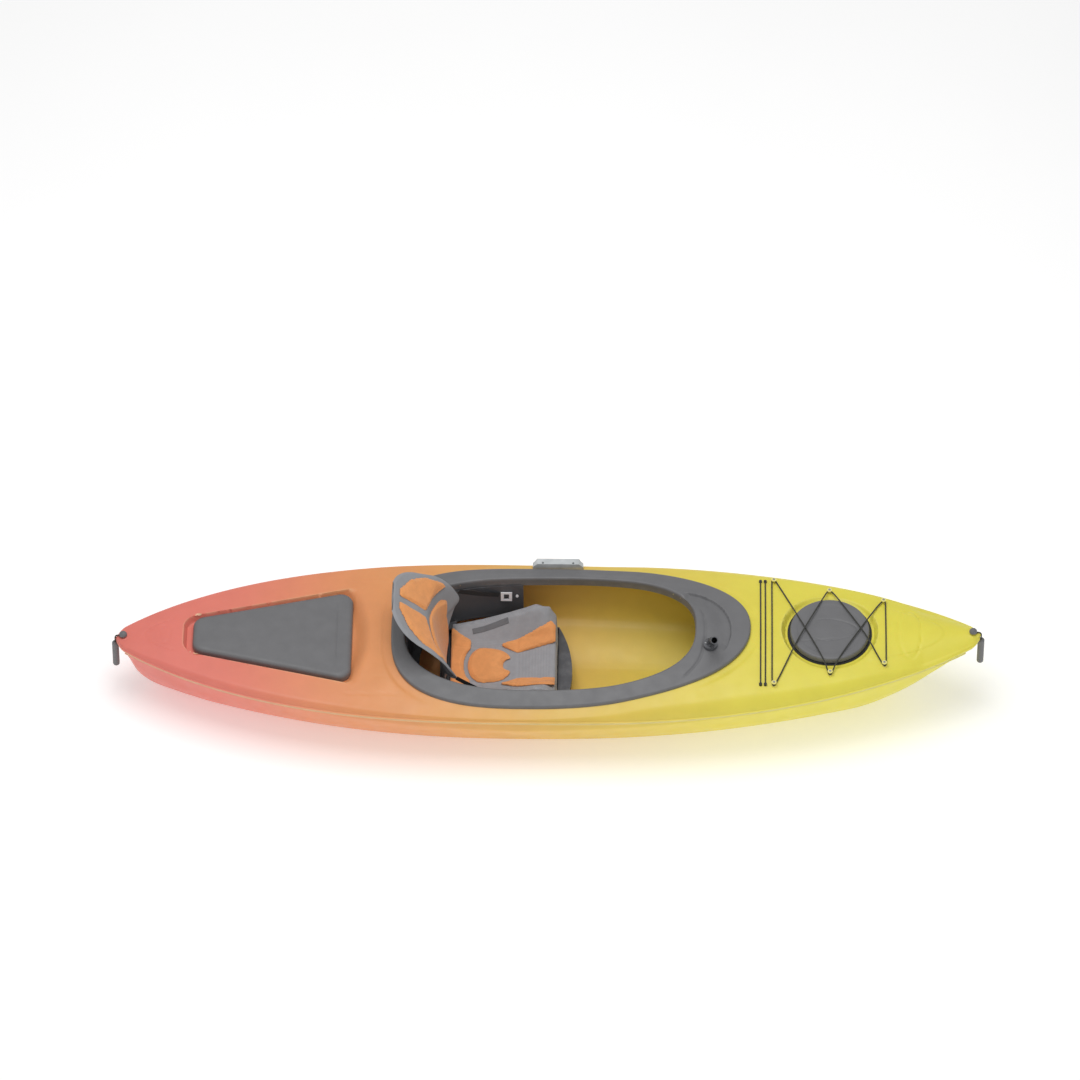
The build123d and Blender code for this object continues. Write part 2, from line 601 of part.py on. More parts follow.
parts["bungee_knot"] = make_knot()
posts, post_screws = [], []
for x, y in ANCHORS.values():
    foot = deck_z(x, y)
    head = foot + POST_GAP
    post = rod(x, y, foot - 12, POST_HEAD_R, 12 + POST_FLANGE)
    post += rod(x, y, foot, POST_R, POST_GAP)
    post = on_deck(post + rod(x, y, head, POST_HEAD_R, POST_FLANGE)) - rod(x, y, 0, SCREW_R, 500)
    screw = rod(x, y, foot - 2, SCREW_R, POST_GAP + 2 + POST_FLANGE)
    screw += rod(x, y, head + POST_FLANGE, SCREW_HEAD_R, 2)
    posts.append(both_sides(post))
    post_screws.append(both_sides(on_deck(screw)))
parts["bungee_posts"] = Compound(posts)
parts["post_screws"] = Compound(post_screws)


def cross_cord(x):
    """Taut line over the crown of the deck between its two grommets."""
    half = ANCHORS["L"][1] - 4
    count = 8
    rows = [half * (2 * i / count - 1) for i in range(count + 1)]
    return cord([(x, y, deck_z(x, y) + CORD_D / 2 + 1.2) for y in rows], CORD_D)


grommets = []
for name, x in (("aft", 751.0), ("fore", 768.0)):
    parts["cross_cord_" + name] = cross_cord(x)
    y = ANCHORS["L"][1]
    dome = on_deck(rod(x, y, deck_z(x, y) - 10, 5.5, 10 + CORD_D + 3))
    grommets.append(both_sides(dome - parts["cross_cord_" + name]))
parts["cord_grommets"] = Compound(grommets)

# ------------------------------------------------------------------ paddle rest on the port edge
rest_y = BEAM / 2 - SIDE_DECK + 6 + REST_WIDTH / 2
rest_foot = deck_z(REST_X, rest_y)
rest_top = rest_foot + 7 + REST_HEIGHT
rest_face = rest_y + REST_WIDTH / 2
rest = block(REST_X - REST_LENGTH / 2, REST_X + REST_LENGTH / 2, rest_face - REST_WIDTH, rest_face,
             rest_foot - 8, rest_top)
rest = chamfer(rest.edges().filter_by(Axis.Y).group_by(Axis.Z)[-1], 16)
gap = block(REST_X - 42, REST_X + 42, 0, BEAM, 0, rest_foot + 7)
tips = block(REST_X - 200, REST_X - 66, 0, BEAM, 0, rest_foot + 7)
rest = rest - gap - tips - mirror(tips, about=Plane.YZ.offset(REST_X))
groove_z = rest_foot + 7 + REST_HEIGHT / 2
groove = Pos(REST_X, rest_face + 8.4, groove_z) * Rot(0, 90, 0) * Cylinder(SHAFT_R, 400)
rest_screws = [rod(REST_X + dx, rest_y - 7, rest_foot - 2, SCREW_R, 14) for dx in (-54, 54)]
rest_heads = [rod(REST_X + dx, rest_y - 7, rest_foot + 12, SCREW_HEAD_R, 60) for dx in (-54, 54)]
rest = on_deck(rest - groove - rest_screws - rest_heads)
parts["paddle_rest"] = rest
parts["rest_screws"] = Compound([on_deck(s) + rod(REST_X + dx, rest_y - 7, rest_foot + 12,
                                                  SCREW_HEAD_R - 0.3, 2.5)
                                 for s, dx in zip(rest_screws, (-54, 54))])

# ------------------------------------------------------------------ rod holder on the console
rod_foot = deck_z(ROD_X, ROD_Y) + COAMING_THICK
rod_face = rod_foot + 10
tilt_z = rod_face + AIR + 18
console = Pos(0, 0, COAMING_THICK) * deck_outer
base = rod(ROD_X, ROD_Y, rod_foot - 8, 25, 18) - console
screw_spots = [(17 * math.cos(a), 17 * math.sin(a)) for a in (0.8, 2.9, 5.0)]
screws = [rod(ROD_X + dx, ROD_Y + dy, rod_foot - 4, SCREW_R, 13) - console for dx, dy in screw_spots]
sunk = [rod(ROD_X + dx, ROD_Y + dy, rod_face - 2.5, SCREW_HEAD_R, 2.5) for dx, dy in screw_spots]
pivot = rod(ROD_X, ROD_Y, rod_foot + 2, 7 + AIR, 20)
parts["rod_base"] = base - screws - sunk - pivot
heads = [rod(ROD_X + dx, ROD_Y + dy, rod_face - 2.5, SCREW_HEAD_R, 2.0) for dx, dy in screw_spots]
parts["rod_base_screws"] = Compound([s + h for s, h in zip(screws, heads)])
yoke = rod(0, 0, AIR, 14, 4) + rod(0, 0, AIR - 7, 7, 8)
cheek = block(-7, 7, 8 + AIR, 13 + AIR, 4, 18) + Pos(0, 10.5 + AIR, 18) * Rot(90, 0, 0) * Cylinder(7, 5)
yoke = yoke + cheek + mirror(cheek, about=Plane.XZ)
yoke = yoke - Pos(0, 0, 18) * Rot(90, 0, 0) * Cylinder(2.5, 60)
swivel = Pos(ROD_X, ROD_Y, rod_face) * Rot(0, 0, ROD_YAW)
parts["rod_yoke"] = swivel * yoke
parts["rod_pin"] = swivel * (Pos(0, 0, 18) * Rot(90, 0, 0) * Cylinder(2.5, 28.0))
tube = Pos(0, 0, 12 + ROD_TUBE_LENGTH / 2) * Cone(ROD_BORE_R - 1, ROD_BORE_R + 3, ROD_TUBE_LENGTH)
tube -= Pos(0, 0, 40 + ROD_TUBE_LENGTH / 2) * Cylinder(ROD_BORE_R, ROD_TUBE_LENGTH)
tube += Rot(90, 0, 0) * Cylinder(7, 16) + Pos(0, 0, 10) * Box(14, 16, 12)
tube -= Rot(90, 0, 0) * Cylinder(2.5 + RUNNING, 60)
parts["rod_tube"] = swivel * (Pos(0, 0, 18) * Rot(0, ROD_LEAN, 0) * tube)


# ------------------------------------------------------------------ carry toggles
def make_toggle(name, side):
    x = side * (HALF - TOGGLE_BOLT_INSET)
    foot = deck_z(x, 0)
    out = side * (HALF + CORD_D / 2 + 2)
    seat = foot + 2.8 + CORD_D
    head = Pos(x, 0, seat) * Sphere(14) & block(x - 20, x + 20, -20, 20, seat, foot + 30)
    bolt = rod(x, 0, foot - 10, 3, 16) + head
    parts[name + "_toggle_bolt"] = bolt - deck_outer
    level = foot + 4.4
    route = [(x + side * 3.6, 0, level), (x + side * 16, 0, level + 1.2),
             (x + side * 25, 0, level - 1), (out, 0, level - 8), (out, 0, level - 22),
             (out + side * 0.6, 0, level - 44)]
    parts[name + "_toggle_cord"] = cord(route, CORD_D)
    grip_top = level - 34
    grip = rod(out + side * 0.3, 0, grip_top - GRIP_LENGTH, GRIP_R, GRIP_LENGTH)
    grip = fillet(grip.edges(), 7)
    grip -= rod(out + side * 0.3, 0, grip_top - 12, CORD_D / 2 + 0.8, 20)
    parts[name + "_toggle_grip"] = grip


make_toggle("bow", 1)
make_toggle("stern", -1)


# ------------------------------------------------------------------ foot braces under the console
def make_foot_brace(name, side):
    """Rail parallel to the hull side, two spacers against it, and a sliding pedal."""
    low = RAIL_Z - RAIL_HEIGHT / 2 - 8
    y_aft, y_fore = (inside_y(RAIL_X + s * RAIL_LENGTH / 2, low) - RAIL_STANDOFF for s in (-1, 1))
    angle = math.degrees(math.atan2(y_fore - y_aft, RAIL_LENGTH))
    place = Pos(RAIL_X, (y_aft + y_fore) / 2, RAIL_Z) * Rot(0, 0, angle)
    rail = Box(RAIL_LENGTH, RAIL_THICK, RAIL_HEIGHT)
    ends = [RAIL_LENGTH / 2 - 14, 14 - RAIL_LENGTH / 2]
    for x in ends:
        rail -= Pos(x, 0, 0) * Rot(90, 0, 0) * Cylinder(3, 60)
    spacers, screws = [], []
    for x in ends:
        spacer = Pos(x, RAIL_THICK / 2 + 50, 0) * (Box(24, 100, 26) - Rot(90, 0, 0) * Cylinder(3, 200))
        spacers.append((place * spacer) & hull_inner)
        screw = Pos(x, 4, 0) * Rot(90, 0, 0) * Cylinder(3, RAIL_THICK + 8)
        screws.append(place * (screw + Pos(x, -RAIL_THICK / 2 - 1.5, 0) * Rot(90, 0, 0) * Cylinder(6, 3)))
    carrier = Box(60, RAIL_THICK + 12, RAIL_HEIGHT + 12)
    carrier -= Box(80, RAIL_THICK + 2 * AIR, RAIL_HEIGHT + 2 * AIR)
    carrier -= Pos(0, RAIL_THICK, 0) * Box(80, RAIL_THICK, RAIL_HEIGHT - 8)
    plate = Pos(-24, -45, 6) * Rot(0, 10, 0) * Box(8, 78, 100)
    pedal = carrier + (plate - Box(80, RAIL_THICK + 11, RAIL_HEIGHT + 11))
    pieces = {"foot_rail": place * rail, "rail_spacers": Compound(spacers),
              "rail_screws": Compound(screws), "foot_pedal": place * pedal}
    for key, shape in pieces.items():
        parts[key + "_" + name] = shape if side > 0 else mirror(shape, about=Plane.XZ)


make_foot_brace("port", 1)
make_foot_brace("starboard", -1)

# ------------------------------------------------------------------ foam bulkheads
for name, x in (("stern", -600.0), ("bow", 1215.0)):
    slab = block(x - 20, x + 20, -400, 400, 0, 500)
    parts[name + "_bulkhead"] = (slab & hull_inner) & block(-2000, 2000, -400, 400, 0, SEAM_Z - 6)

os.makedirs("parts", exist_ok=True)
for node, shape in parts.items():
    export_step(shape, f"parts/{node}.step")
    print(node)
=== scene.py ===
"""Looks of the sit-inside kayak: moulded skins, hatches, padded seat, cords, stage and camera.

The layout is an add-on's: settings, one operator for each group of pieces, and a panel. Shapes are
worked out in millimetres with the hull's own formulas and stored in metres. +X is the bow, +Y port.
"""
import math

import bmesh
import bpy
import numpy as np
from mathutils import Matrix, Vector


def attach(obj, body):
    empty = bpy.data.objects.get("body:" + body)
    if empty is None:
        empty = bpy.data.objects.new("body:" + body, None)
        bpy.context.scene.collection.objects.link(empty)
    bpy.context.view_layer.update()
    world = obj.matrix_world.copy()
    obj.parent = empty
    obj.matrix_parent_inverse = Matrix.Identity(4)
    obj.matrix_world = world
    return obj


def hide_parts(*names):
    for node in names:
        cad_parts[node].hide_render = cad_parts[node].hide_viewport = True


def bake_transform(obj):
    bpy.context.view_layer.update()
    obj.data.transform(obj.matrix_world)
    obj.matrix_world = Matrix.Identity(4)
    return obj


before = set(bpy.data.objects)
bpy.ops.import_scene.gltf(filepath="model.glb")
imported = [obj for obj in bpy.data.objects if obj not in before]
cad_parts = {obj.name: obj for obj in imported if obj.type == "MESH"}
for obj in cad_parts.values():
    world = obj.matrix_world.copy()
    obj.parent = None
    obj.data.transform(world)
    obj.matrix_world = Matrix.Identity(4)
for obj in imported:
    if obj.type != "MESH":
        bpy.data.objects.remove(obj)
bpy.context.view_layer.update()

bl_info = {
    "name": "Kayak looks",
    "version": (1, 0, 0),
    "blender": (4, 5, 0),
    "location": "View3D > Sidebar > Kayak",
    "description": "Builds the visible surfaces of a sit-inside kayak",
    "category": "Add Mesh",
}

MM = 0.001

# ------------------------------------------------------------------ lines of the boat, in mm
LENGTH, BEAM, WIDEST_X = 3050.0, 740.0, -100.0
HALF = LENGTH / 2
SEAM_Z, BOW_SEAM_RISE = 235.0, 65.0
FLANGE = 4.0
COAMING = (-552.0, 716.0, 325.0, -50.0, 3.0, 2.2)
OPENING = (-503.0, 521.0, 260.0, -30.0, 2.6, 2.6)
COAMING_THICK, COAMING_SKIRT, SKIRT_WALL = 12.0, 26.0, 4.0
OPENING_GAP = 5.0           # between the deck's opening and the coaming's line
HATCH_X, LID_R, LID_Z, RECESS_R, RECESS_Z = 995.0, 140.0, 338.0, 157.0, 312.0
HATCH_HOLE_R, RECESS_RIM = 123.0, 14.0
TUB = (-1253.5, -691.0, 72.5, 207.5)
TUB_RECESS_Z = 246.0
TUB_HOLE = (-26.0, -26.0, -26.0, 20.0)
HINGE = (-372.0, 105.0)

KEEL_AFT = [(0, 190), (10, 155), (31, 100), (69, 58), (119, 30), (189, 12), (289, 0)]
SHOULDER_INSET = [(-1.0, 8), (-0.85, 20), (-0.53, 20), (-0.34, 10), (-0.07, 5), (0.13, 18),
                  (0.24, 31), (0.36, 39), (0.48, 43), (0.6, 37), (0.82, 22), (1.0, 8)]
SHOULDER_Z = [(-1.0, 15), (-0.85, 28), (-0.53, 27), (-0.07, 14), (0.13, 26), (0.24, 47),
              (0.36, 60), (0.48, 68), (0.6, 71), (0.82, 70), (1.0, 23)]
CROWN_Z = [(-1.0, 17), (-0.89, 35), (-0.66, 40), (-0.42, 52), (-0.36, 66), (-0.1, 84),
           (0.2, 99), (0.47, 104), (0.65, 98), (0.84, 95), (1.0, 89)]
# backrest: height, middle x, half width, how far the sides come forward
BACK_ROWS = [(96, -371, 38, 2), (112, -370, 39, 3), (121, -369.5, 86, 6), (150, -368, 96, 10),
             (200, -377, 112, 26), (246, -388, 168, 62), (262, -392, 186, 82),
             (300, -401, 192, 76), (342, -411, 190, 61), (384, -424, 184, 34),
             (421, -458, 165, 10), (440, -481, 154, 7), (455, -499, 139, 5), (470, -517, 116, 4),
             (480, -529, 92, 3), (486, -536, 66, 2)]


def curve(rows, x):
    """Smooth values at x through (x, value) rows, flat beyond both ends."""
    xs, ys = np.array(rows, float).T
    x = np.clip(x, xs[0], xs[-1])
    i = np.clip(np.searchsorted(xs, x, side="right") - 1, 0, len(xs) - 2)
    before, after = np.maximum(np.arange(len(xs)) - 1, 0), np.minimum(np.arange(len(xs)) + 1, len(xs) - 1)
    slope = (ys[after] - ys[before]) / (xs[after] - xs[before])
    run = xs[i + 1] - xs[i]
    t = (x - xs[i]) / run
    return (ys[i] * (1 + 2 * t) * (1 - t) ** 2 + slope[i] * run * t * (1 - t) ** 2
            + ys[i + 1] * t * t * (3 - 2 * t) + slope[i + 1] * run * t * t * (t - 1))


def step(t):
    """Smooth rise from 0 at t = 0 to 1 at t = 1."""
    t = np.clip(t, 0, 1)
    return t * t * (3 - 2 * t)


def half_breadth(x):
    """Half the deck's width: a power curve each side of the widest place, rounded at both tips."""
    run = HALF + 35 - np.where(x > WIDEST_X, WIDEST_X, -WIDEST_X)
    t = np.abs(x - WIDEST_X) / run
    into_tip = np.maximum(0, np.abs(x) - HALF + 31) / 31
    return BEAM / 2 * (1 - t ** 2.6) ** 0.85 * np.sqrt(np.maximum(0.07, 1 - into_tip ** 2))


def seam_z(x):
    """Height of the seam: level, then rising towards the bow as a power of the distance."""
    return SEAM_Z + BOW_SEAM_RISE * (np.maximum(0, x - 200) / (HALF - 200)) ** 1.8


def keel_z(x):
    """Height of the keel: stern rows, a flat run, and a bow stem that rises to the seam."""
    rake = np.maximum(0, x - (HALF - 445)) / 403
    bow = (seam_z(x) - 12) * np.minimum(1, rake) ** 1.7
    return np.where(x < WIDEST_X, curve(KEEL_AFT, x + HALF - 36), bow)


def shoulder_inset(x):
    """How far the deck's rounded band leans in, at most a share of the half breadth."""
    return np.minimum(curve(SHOULDER_INSET, x / HALF), 0.35 * half_breadth(x))


def shoulder_z(x):
    """Height at the top of the rounded band, never close to the seam."""
    return np.maximum(SEAM_Z + curve(SHOULDER_Z, x / HALF), seam_z(x) + 13)


def crown_z(x):
    """Height of the deck on the middle line, smooth through its rows."""
    return SEAM_Z + curve(CROWN_Z, x / HALF)


def deck_z(x, y):
    """Height of the deck: a parabola across, from the crown to the shoulder."""
    edge = half_breadth(x) - FLANGE - shoulder_inset(x)
    return crown_z(x) - (crown_z(x) - shoulder_z(x)) * np.minimum(1, (y / edge) ** 2)


def oval_field(x, y, oval, grow=0.0):
    """Near 0 on the oval's line, negative inside, in millimetres."""
    aft, fore, half, widest, aft_power, fore_power = oval
    run = np.where(x > widest, fore + grow - widest, widest - aft + grow)
    power = np.where(x > widest, fore_power, aft_power)
    u, v = np.abs(x - widest) / run, np.abs(y) / (half + grow)
    value = (u ** power + v ** power) ** (1 / power)
    return (value - 1) * np.hypot(x - widest, y) / np.maximum(value, 1e-6) * 0.9


def oval_line(oval, grow, angle):
    """Points of the oval at these angles, grow millimetres outside its own line."""
    aft, fore, half, widest, aft_power, fore_power = oval
    c, s = np.cos(angle), np.sin(angle)
    power = np.where(c > 0, fore_power, aft_power)
    run = np.where(c > 0, fore + grow - widest, widest - aft + grow)
    x = np.sign(c) * np.abs(c) ** (2 / power)
    y = np.sign(s) * np.abs(s) ** (2 / power)
    return np.stack([widest + run * x, (half + grow) * y], -1)


def circle_field(x, y, middle, radius):
    """Distance outside a circle on the middle line, negative inside."""
    return np.hypot(x - middle, y) - radius


def tub_field(x, y, aft, fore, side, radius):
    """Distance outside a rounded trapezoid, the hatch outline moved outwards on each edge."""
    slope = (TUB[3] - TUB[2]) / (TUB[1] - TUB[0])
    middle, half = (TUB[0] - aft + TUB[1] + fore) / 2, (TUB[1] + fore - TUB[0] + aft) / 2
    across = (np.abs(y) - (TUB[2] + side + slope * (x - TUB[0]))) / math.hypot(1, slope)
    qx, qy = np.abs(x - middle) - half + radius, across + radius
    return np.hypot(np.maximum(qx, 0), np.maximum(qy, 0)) + np.minimum(np.maximum(qx, qy), 0) - radius


def resampled(points, count):
    """Evenly spaced points round a closed polyline."""
    p = np.asarray(points, float)
    p = np.vstack([p, p[:1]])
    along = np.concatenate([[0], np.cumsum(np.linalg.norm(np.diff(p, axis=0), axis=1))])
    at = np.linspace(0, along[-1], count, endpoint=False)
    return np.stack([np.interp(at, along, p[:, k]) for k in range(p.shape[1])], -1)


# ------------------------------------------------------------------ colours and node materials
def linear(code):
    """Linear colour from an sRGB hex code."""
    parts = [int(code[i:i + 2], 16) / 255 for i in (1, 3, 5)]
    return tuple(c / 12.92 if c <= 0.04045 else ((c + 0.055) / 1.055) ** 2.4 for c in parts) + (1.0,)


def add(tree, kind, links=None, **settings):
    """One shader node with its settings; links gives sockets a source or a constant."""
    node = tree.nodes.new("ShaderNode" + kind)
    for key, value in settings.items():
        setattr(node, key, value)
    for key, value in (links or {}).items():
        socket = node.inputs[key]
        if isinstance(value, bpy.types.NodeSocket):
            tree.links.new(value, socket)
        else:
            socket.default_value = value
    return node


def maths(tree, operation, a, b=0.0, clamp=False):
    """Output of one Math node."""
    return add(tree, "Math", {0: a, 1: b}, operation=operation, use_clamp=clamp).outputs[0]


def mix(tree, factor, a, b, blend="MIX"):
    """Output of one colour Mix node."""
    node = add(tree, "Mix", {0: factor, 6: a, 7: b}, data_type="RGBA", blend_type=blend)
    return node.outputs[2]


def noise(tree, where, millimetres, detail=4.0, rough=0.55):
    """Noise whose features are about this many millimetres across."""
    return add(tree, "TexNoise", {"Vector": where, "Scale": 1 / (millimetres * MM), "Detail": detail,
                                  "Roughness": rough}).outputs["Fac"]


def ranged(tree, value, low, high, start=0.3, end=0.7):
    """Value between start and end stretched to run from low to high."""
    return add(tree, "MapRange", {0: value, 1: start, 2: end, 3: low, 4: high}).outputs[0]


def begin(name):
    """An empty material with its tree, object coordinates and shader."""
    made = bpy.data.materials.new(name)
    made.use_nodes = True
    tree = made.node_tree
    tree.nodes.clear()
    where = add(tree, "TexCoord").outputs["Object"]
    shader = add(tree, "BsdfPrincipled")
    out = add(tree, "OutputMaterial")
    tree.links.new(shader.outputs[0], out.inputs[0])
    return made, tree, where, shader


def finish(tree, shader, colour, rough, height, depth_mm, **constants):
    """Join colour, roughness and bump to the shader and set its constants."""
    bump = add(tree, "Bump", {"Strength": 1.0, "Distance": depth_mm * MM, "Height": height})
    for key, value in (("Base Color", colour), ("Roughness", rough), ("Normal", bump.outputs[0])):
        if isinstance(value, bpy.types.NodeSocket):
            tree.links.new(value, shader.inputs[key])
        else:
            shader.inputs[key].default_value = value
    for key, value in constants.items():
        shader.inputs[key.replace("_", " ")].default_value = value


def wear_and_highlight_edges(tree, where, colour, pale, least=0.0):
    """Rubbed edges and painted edge highlight: convex places a little paler, broken up by noise down to the
    least share.
    """
    edge = add(tree, "NewGeometry").outputs["Pointiness"]
    edge = ranged(tree, edge, 0, 1, 0.52, 0.6)
    patch = ranged(tree, noise(tree, where, 35), least, 0.5, 0.4, 0.65)
    return mix(tree, maths(tree, "MULTIPLY", edge, patch, True), colour, pale)


def hull_plastic(settings):
    """Rotomoulded polyethylene, coral at the stern through orange to yellow at the bow, with a painted
    highlight along its edges.
    """
    made, tree, where, shader = begin("hull polyethylene")
    x = add(tree, "SeparateXYZ", {0: where}).outputs[0]
    drift = maths(tree, "MULTIPLY", maths(tree, "SUBTRACT", noise(tree, where, 420), 0.5), 0.12)
    along = ranged(tree, maths(tree, "ADD", x, drift), 0, 1, -HALF * MM, HALF * MM)
    ramp = add(tree, "ValToRGB", {0: along})
    stops = [(0.0, settings.stern), (0.15, settings.stern), (0.27, settings.middle_aft),
             (0.36, settings.middle_aft), (0.50, settings.middle), (0.64, settings.middle_fore),
             (0.77, settings.bow), (1.0, settings.bow)]
    ramp.color_ramp.interpolation = "B_SPLINE"
    while len(ramp.color_ramp.elements) < len(stops):
        ramp.color_ramp.elements.new(0.5)
    for element, (place, colour) in zip(ramp.color_ramp.elements, stops):
        element.position, element.color = place, tuple(colour)
    cloud = ranged(tree, noise(tree, where, 90), 0.965, 1.03)
    tone = mix(tree, 1.0, ramp.outputs[0], cloud, "MULTIPLY")
    streaks = add(tree, "Mapping", {0: where, 3: (0.16, 3.0, 3.0)}).outputs[0]
    scratch = ranged(tree, noise(tree, streaks, 9, 6, 0.7), 0, 0.10, 0.62, 0.74)
    tone = mix(tree, scratch, tone, linear("#FFF6C8"))
    # painted highlight: an even pale line along the seam flange and the other convex edges of the skins,
    # hardly broken by noise
    tone = wear_and_highlight_edges(tree, where, tone, linear("#FBF3BE"), 0.4)
    rough = ranged(tree, noise(tree, where, 60, 5), 0.34, 0.50)
    grain = noise(tree, where, 2.6, 3)
    finish(tree, shader, tone, rough, grain, 0.22, IOR=1.5, Subsurface_Weight=0.06,
           Subsurface_Scale=0.004, Specular_IOR_Level=0.45)
    shader.inputs["Subsurface Radius"].default_value = (1.0, 0.6, 0.25)
    return made


def moulded(name, code, pale, rough, grain_mm=1.8, depth=0.18):
    """Injection-moulded plastic with a fine leather grain, faint flow clouds and rubbed edges."""
    made, tree, where, shader = begin(name)
    base = code if not isinstance(code, str) else linear(code)
    cloud = ranged(tree, noise(tree, where, 55), 0.95, 1.05)
    tone = mix(tree, 1.0, tuple(base), cloud, "MULTIPLY")
    tone = wear_and_highlight_edges(tree, where, tone, linear(pale))
    cells = add(tree, "TexVoronoi", {"Vector": where, "Scale": 1 / (grain_mm * MM)}).outputs[0]
    height = maths(tree, "ADD", cells, noise(tree, where, grain_mm * 4, 3))
    spread = ranged(tree, noise(tree, where, 38, 4), rough - 0.06, rough + 0.08)
    finish(tree, shader, tone, spread, height, depth, IOR=1.5)
    return made


def woven(name, code, dark, pitch_mm, depth, sheen=0.25):
    """Woven polyester over foam: crossing threads, dark gaps, soft mottling and a light sheen."""
    made, tree, where, shader = begin(name)
    base = code if not isinstance(code, str) else linear(code)
    threads = []
    for axis in "XYZ":
        wave = add(tree, "TexWave", {"Vector": where, "Scale": math.pi / 10 / (pitch_mm * MM),
                                     "Distortion": 0.6, "Detail Scale": 1.2}, bands_direction=axis)
        threads.append(wave.outputs["Fac"])
    lattice = maths(tree, "DIVIDE", maths(tree, "ADD", maths(tree, "ADD", *threads[:2]), threads[2]), 3.0)
    gaps = ranged(tree, lattice, 0.45, 0.0, 0.25, 0.6)
    mottle = ranged(tree, noise(tree, where, 24, 5), 0.93, 1.06)
    tone = mix(tree, 1.0, tuple(base), mottle, "MULTIPLY")
    tone = mix(tree, maths(tree, "MULTIPLY", gaps, 0.55), tone, linear(dark))
    finish(tree, shader, tone, 0.85, lattice, depth, IOR=1.45, Sheen_Weight=sheen, Sheen_Roughness=0.4)
    return made


def braided(name, code, pitch_mm):
    """Braided cord or webbing: slanted strands with dark gaps, slightly fuzzy."""
    made, tree, where, shader = begin(name)
    first = add(tree, "TexWave", {"Vector": where, "Scale": math.pi / 10 / (pitch_mm * MM),
                                  "Distortion": 0.4}, bands_direction="DIAGONAL").outputs["Fac"]
    turned = add(tree, "Mapping", {0: where, 2: (0.0, 0.0, 1.2)}).outputs[0]
    second = add(tree, "TexWave", {"Vector": turned, "Scale": math.pi / 10 / (pitch_mm * MM),
                                   "Distortion": 0.4}, bands_direction="DIAGONAL").outputs["Fac"]
    strands = maths(tree, "MAXIMUM", first, second)
    shade = ranged(tree, strands, 0.55, 1.15, 0.2, 0.9)
    tone = mix(tree, 1.0, linear(code), shade, "MULTIPLY")
    finish(tree, shader, tone, 0.8, strands, 0.3, IOR=1.45, Sheen_Weight=0.2)
    return made


def foam_block():
    """Closed-cell foam: pale grey with fine open cells on the cut face."""
    made, tree, where, shader = begin("closed cell foam")
    cells = add(tree, "TexVoronoi", {"Vector": where, "Scale": 1 / (2.2 * MM)}).outputs[0]
    tone = mix(tree, ranged(tree, cells, 0.4, 0.0, 0.1, 0.5), linear("#5A5B5E"), linear("#3A3B3D"))
    finish(tree, shader, tone, 0.92, cells, 0.5, IOR=1.4)
    return made


def seal_rubber():
    """EPDM seal: near-black, dull, with a faint extruded texture."""
    made, tree, where, shader = begin("seal rubber")
    grain = noise(tree, where, 1.4, 4)
    tone = mix(tree, ranged(tree, noise(tree, where, 30), 0, 1), linear("#1E1E20"), linear("#2A2A2C"))
    finish(tree, shader, tone, ranged(tree, grain, 0.6, 0.75), grain, 0.12, IOR=1.52)
    return made


def stainless_steel():
    """Stainless fastener: satin metal with turned rings and small scratches."""
    made, tree, where, shader = begin("stainless steel")
    grain = noise(tree, where, 0.7, 6, 0.7)
    tone = mix(tree, ranged(tree, grain, 0, 1), linear("#B4B6B8"), linear("#D8D9DA"))
    finish(tree, shader, tone, ranged(tree, grain, 0.22, 0.38), grain, 0.04, Metallic=1.0)
    return made


def stage_paper():
    """Pale matt studio floor with hardly any tone of its own."""
    made, tree, where, shader = begin("studio floor")
    cloud = ranged(tree, noise(tree, where, 900), 0.985, 1.0)
    tone = mix(tree, 1.0, linear("#FBFBFB"), cloud, "MULTIPLY")
    finish(tree, shader, tone, 0.9, noise(tree, where, 6), 0.05, IOR=1.3, Emission_Strength=0.3,
           Emission_Color=(1.0, 1.0, 1.0, 1.0))
    return made


LOOKS = {}


def look(name):
    """The shared material of this name, made when it is first asked for."""
    if name not in LOOKS:
        colours = bpy.context.scene.kayak_colours
        makers = {
            "hull": lambda: hull_plastic(colours),
            "grey": lambda: moulded("grey moulded plastic", colours.lids, "#9A9A9C", 0.5),
            "dark": lambda: moulded("dark moulded plastic", colours.dark, "#77787B", 0.55),
            "black": lambda: moulded("black nylon", "#232426", "#4A4B4D", 0.42, 1.2),
            "white": lambda: moulded("white acetal", "#E9E9EE", "#FFFFFF", 0.35, 1.2, 0.08),
            "light": lambda: moulded("light grey nylon", "#C3C8CA", "#E6E9EA", 0.4, 1.4, 0.1),
            "seat": lambda: woven("grey seat fabric", colours.seat, "#77777B", 2.4, 0.5),
            "shell": lambda: moulded("grey foam skin", "#98999D", "#B4B5B8", 0.7, 1.6, 0.12),
            "pad": lambda: woven("orange pad fabric", colours.pads, "#B96A34", 2.0, 0.45, 0.3),
            "webbing": lambda: braided("polyester webbing", "#1F1F21", 1.8),
            "cord": lambda: braided("braided elastic cord", "#3B3B36", 1.6),
            "rubber": seal_rubber, "foam": foam_block, "steel": stainless_steel,
            "strip": lambda: woven("grey grip strip", "#77777A", "#4E4E52", 3.0, 0.7),
        }
        LOOKS[name] = makers[name]()
    return LOOKS[name]


# ------------------------------------------------------------------ meshes
def quads_of(rows, columns, loop_u=False, loop_v=False):
    """Corner numbers of every quad between neighbours of a rows × columns grid."""
    index = np.arange(rows * columns).reshape(rows, columns)
    if loop_u:
        index = np.vstack([index, index[:1]])
    if loop_v:
        index = np.hstack([index, index[:, :1]])
    corners = [index[:-1, :-1], index[1:, :-1], index[1:, 1:], index[:-1, 1:]]
    return np.stack(corners, -1).reshape(-1, 4)


def mesh_from(name, points, faces, sharp=35.0):
    """Mesh object in metres from points in millimetres, smooth up to the sharp angle."""
    mesh = bpy.data.meshes.new(name)
    mesh.from_pydata((np.asarray(points).reshape(-1, 3) * MM).tolist(), [], faces)
    mesh.validate()
    mesh.shade_smooth()
    mesh.set_sharp_from_angle(angle=math.radians(sharp))
    made = bpy.data.objects.new(name, mesh)
    bpy.context.scene.collection.objects.link(made)
    return made


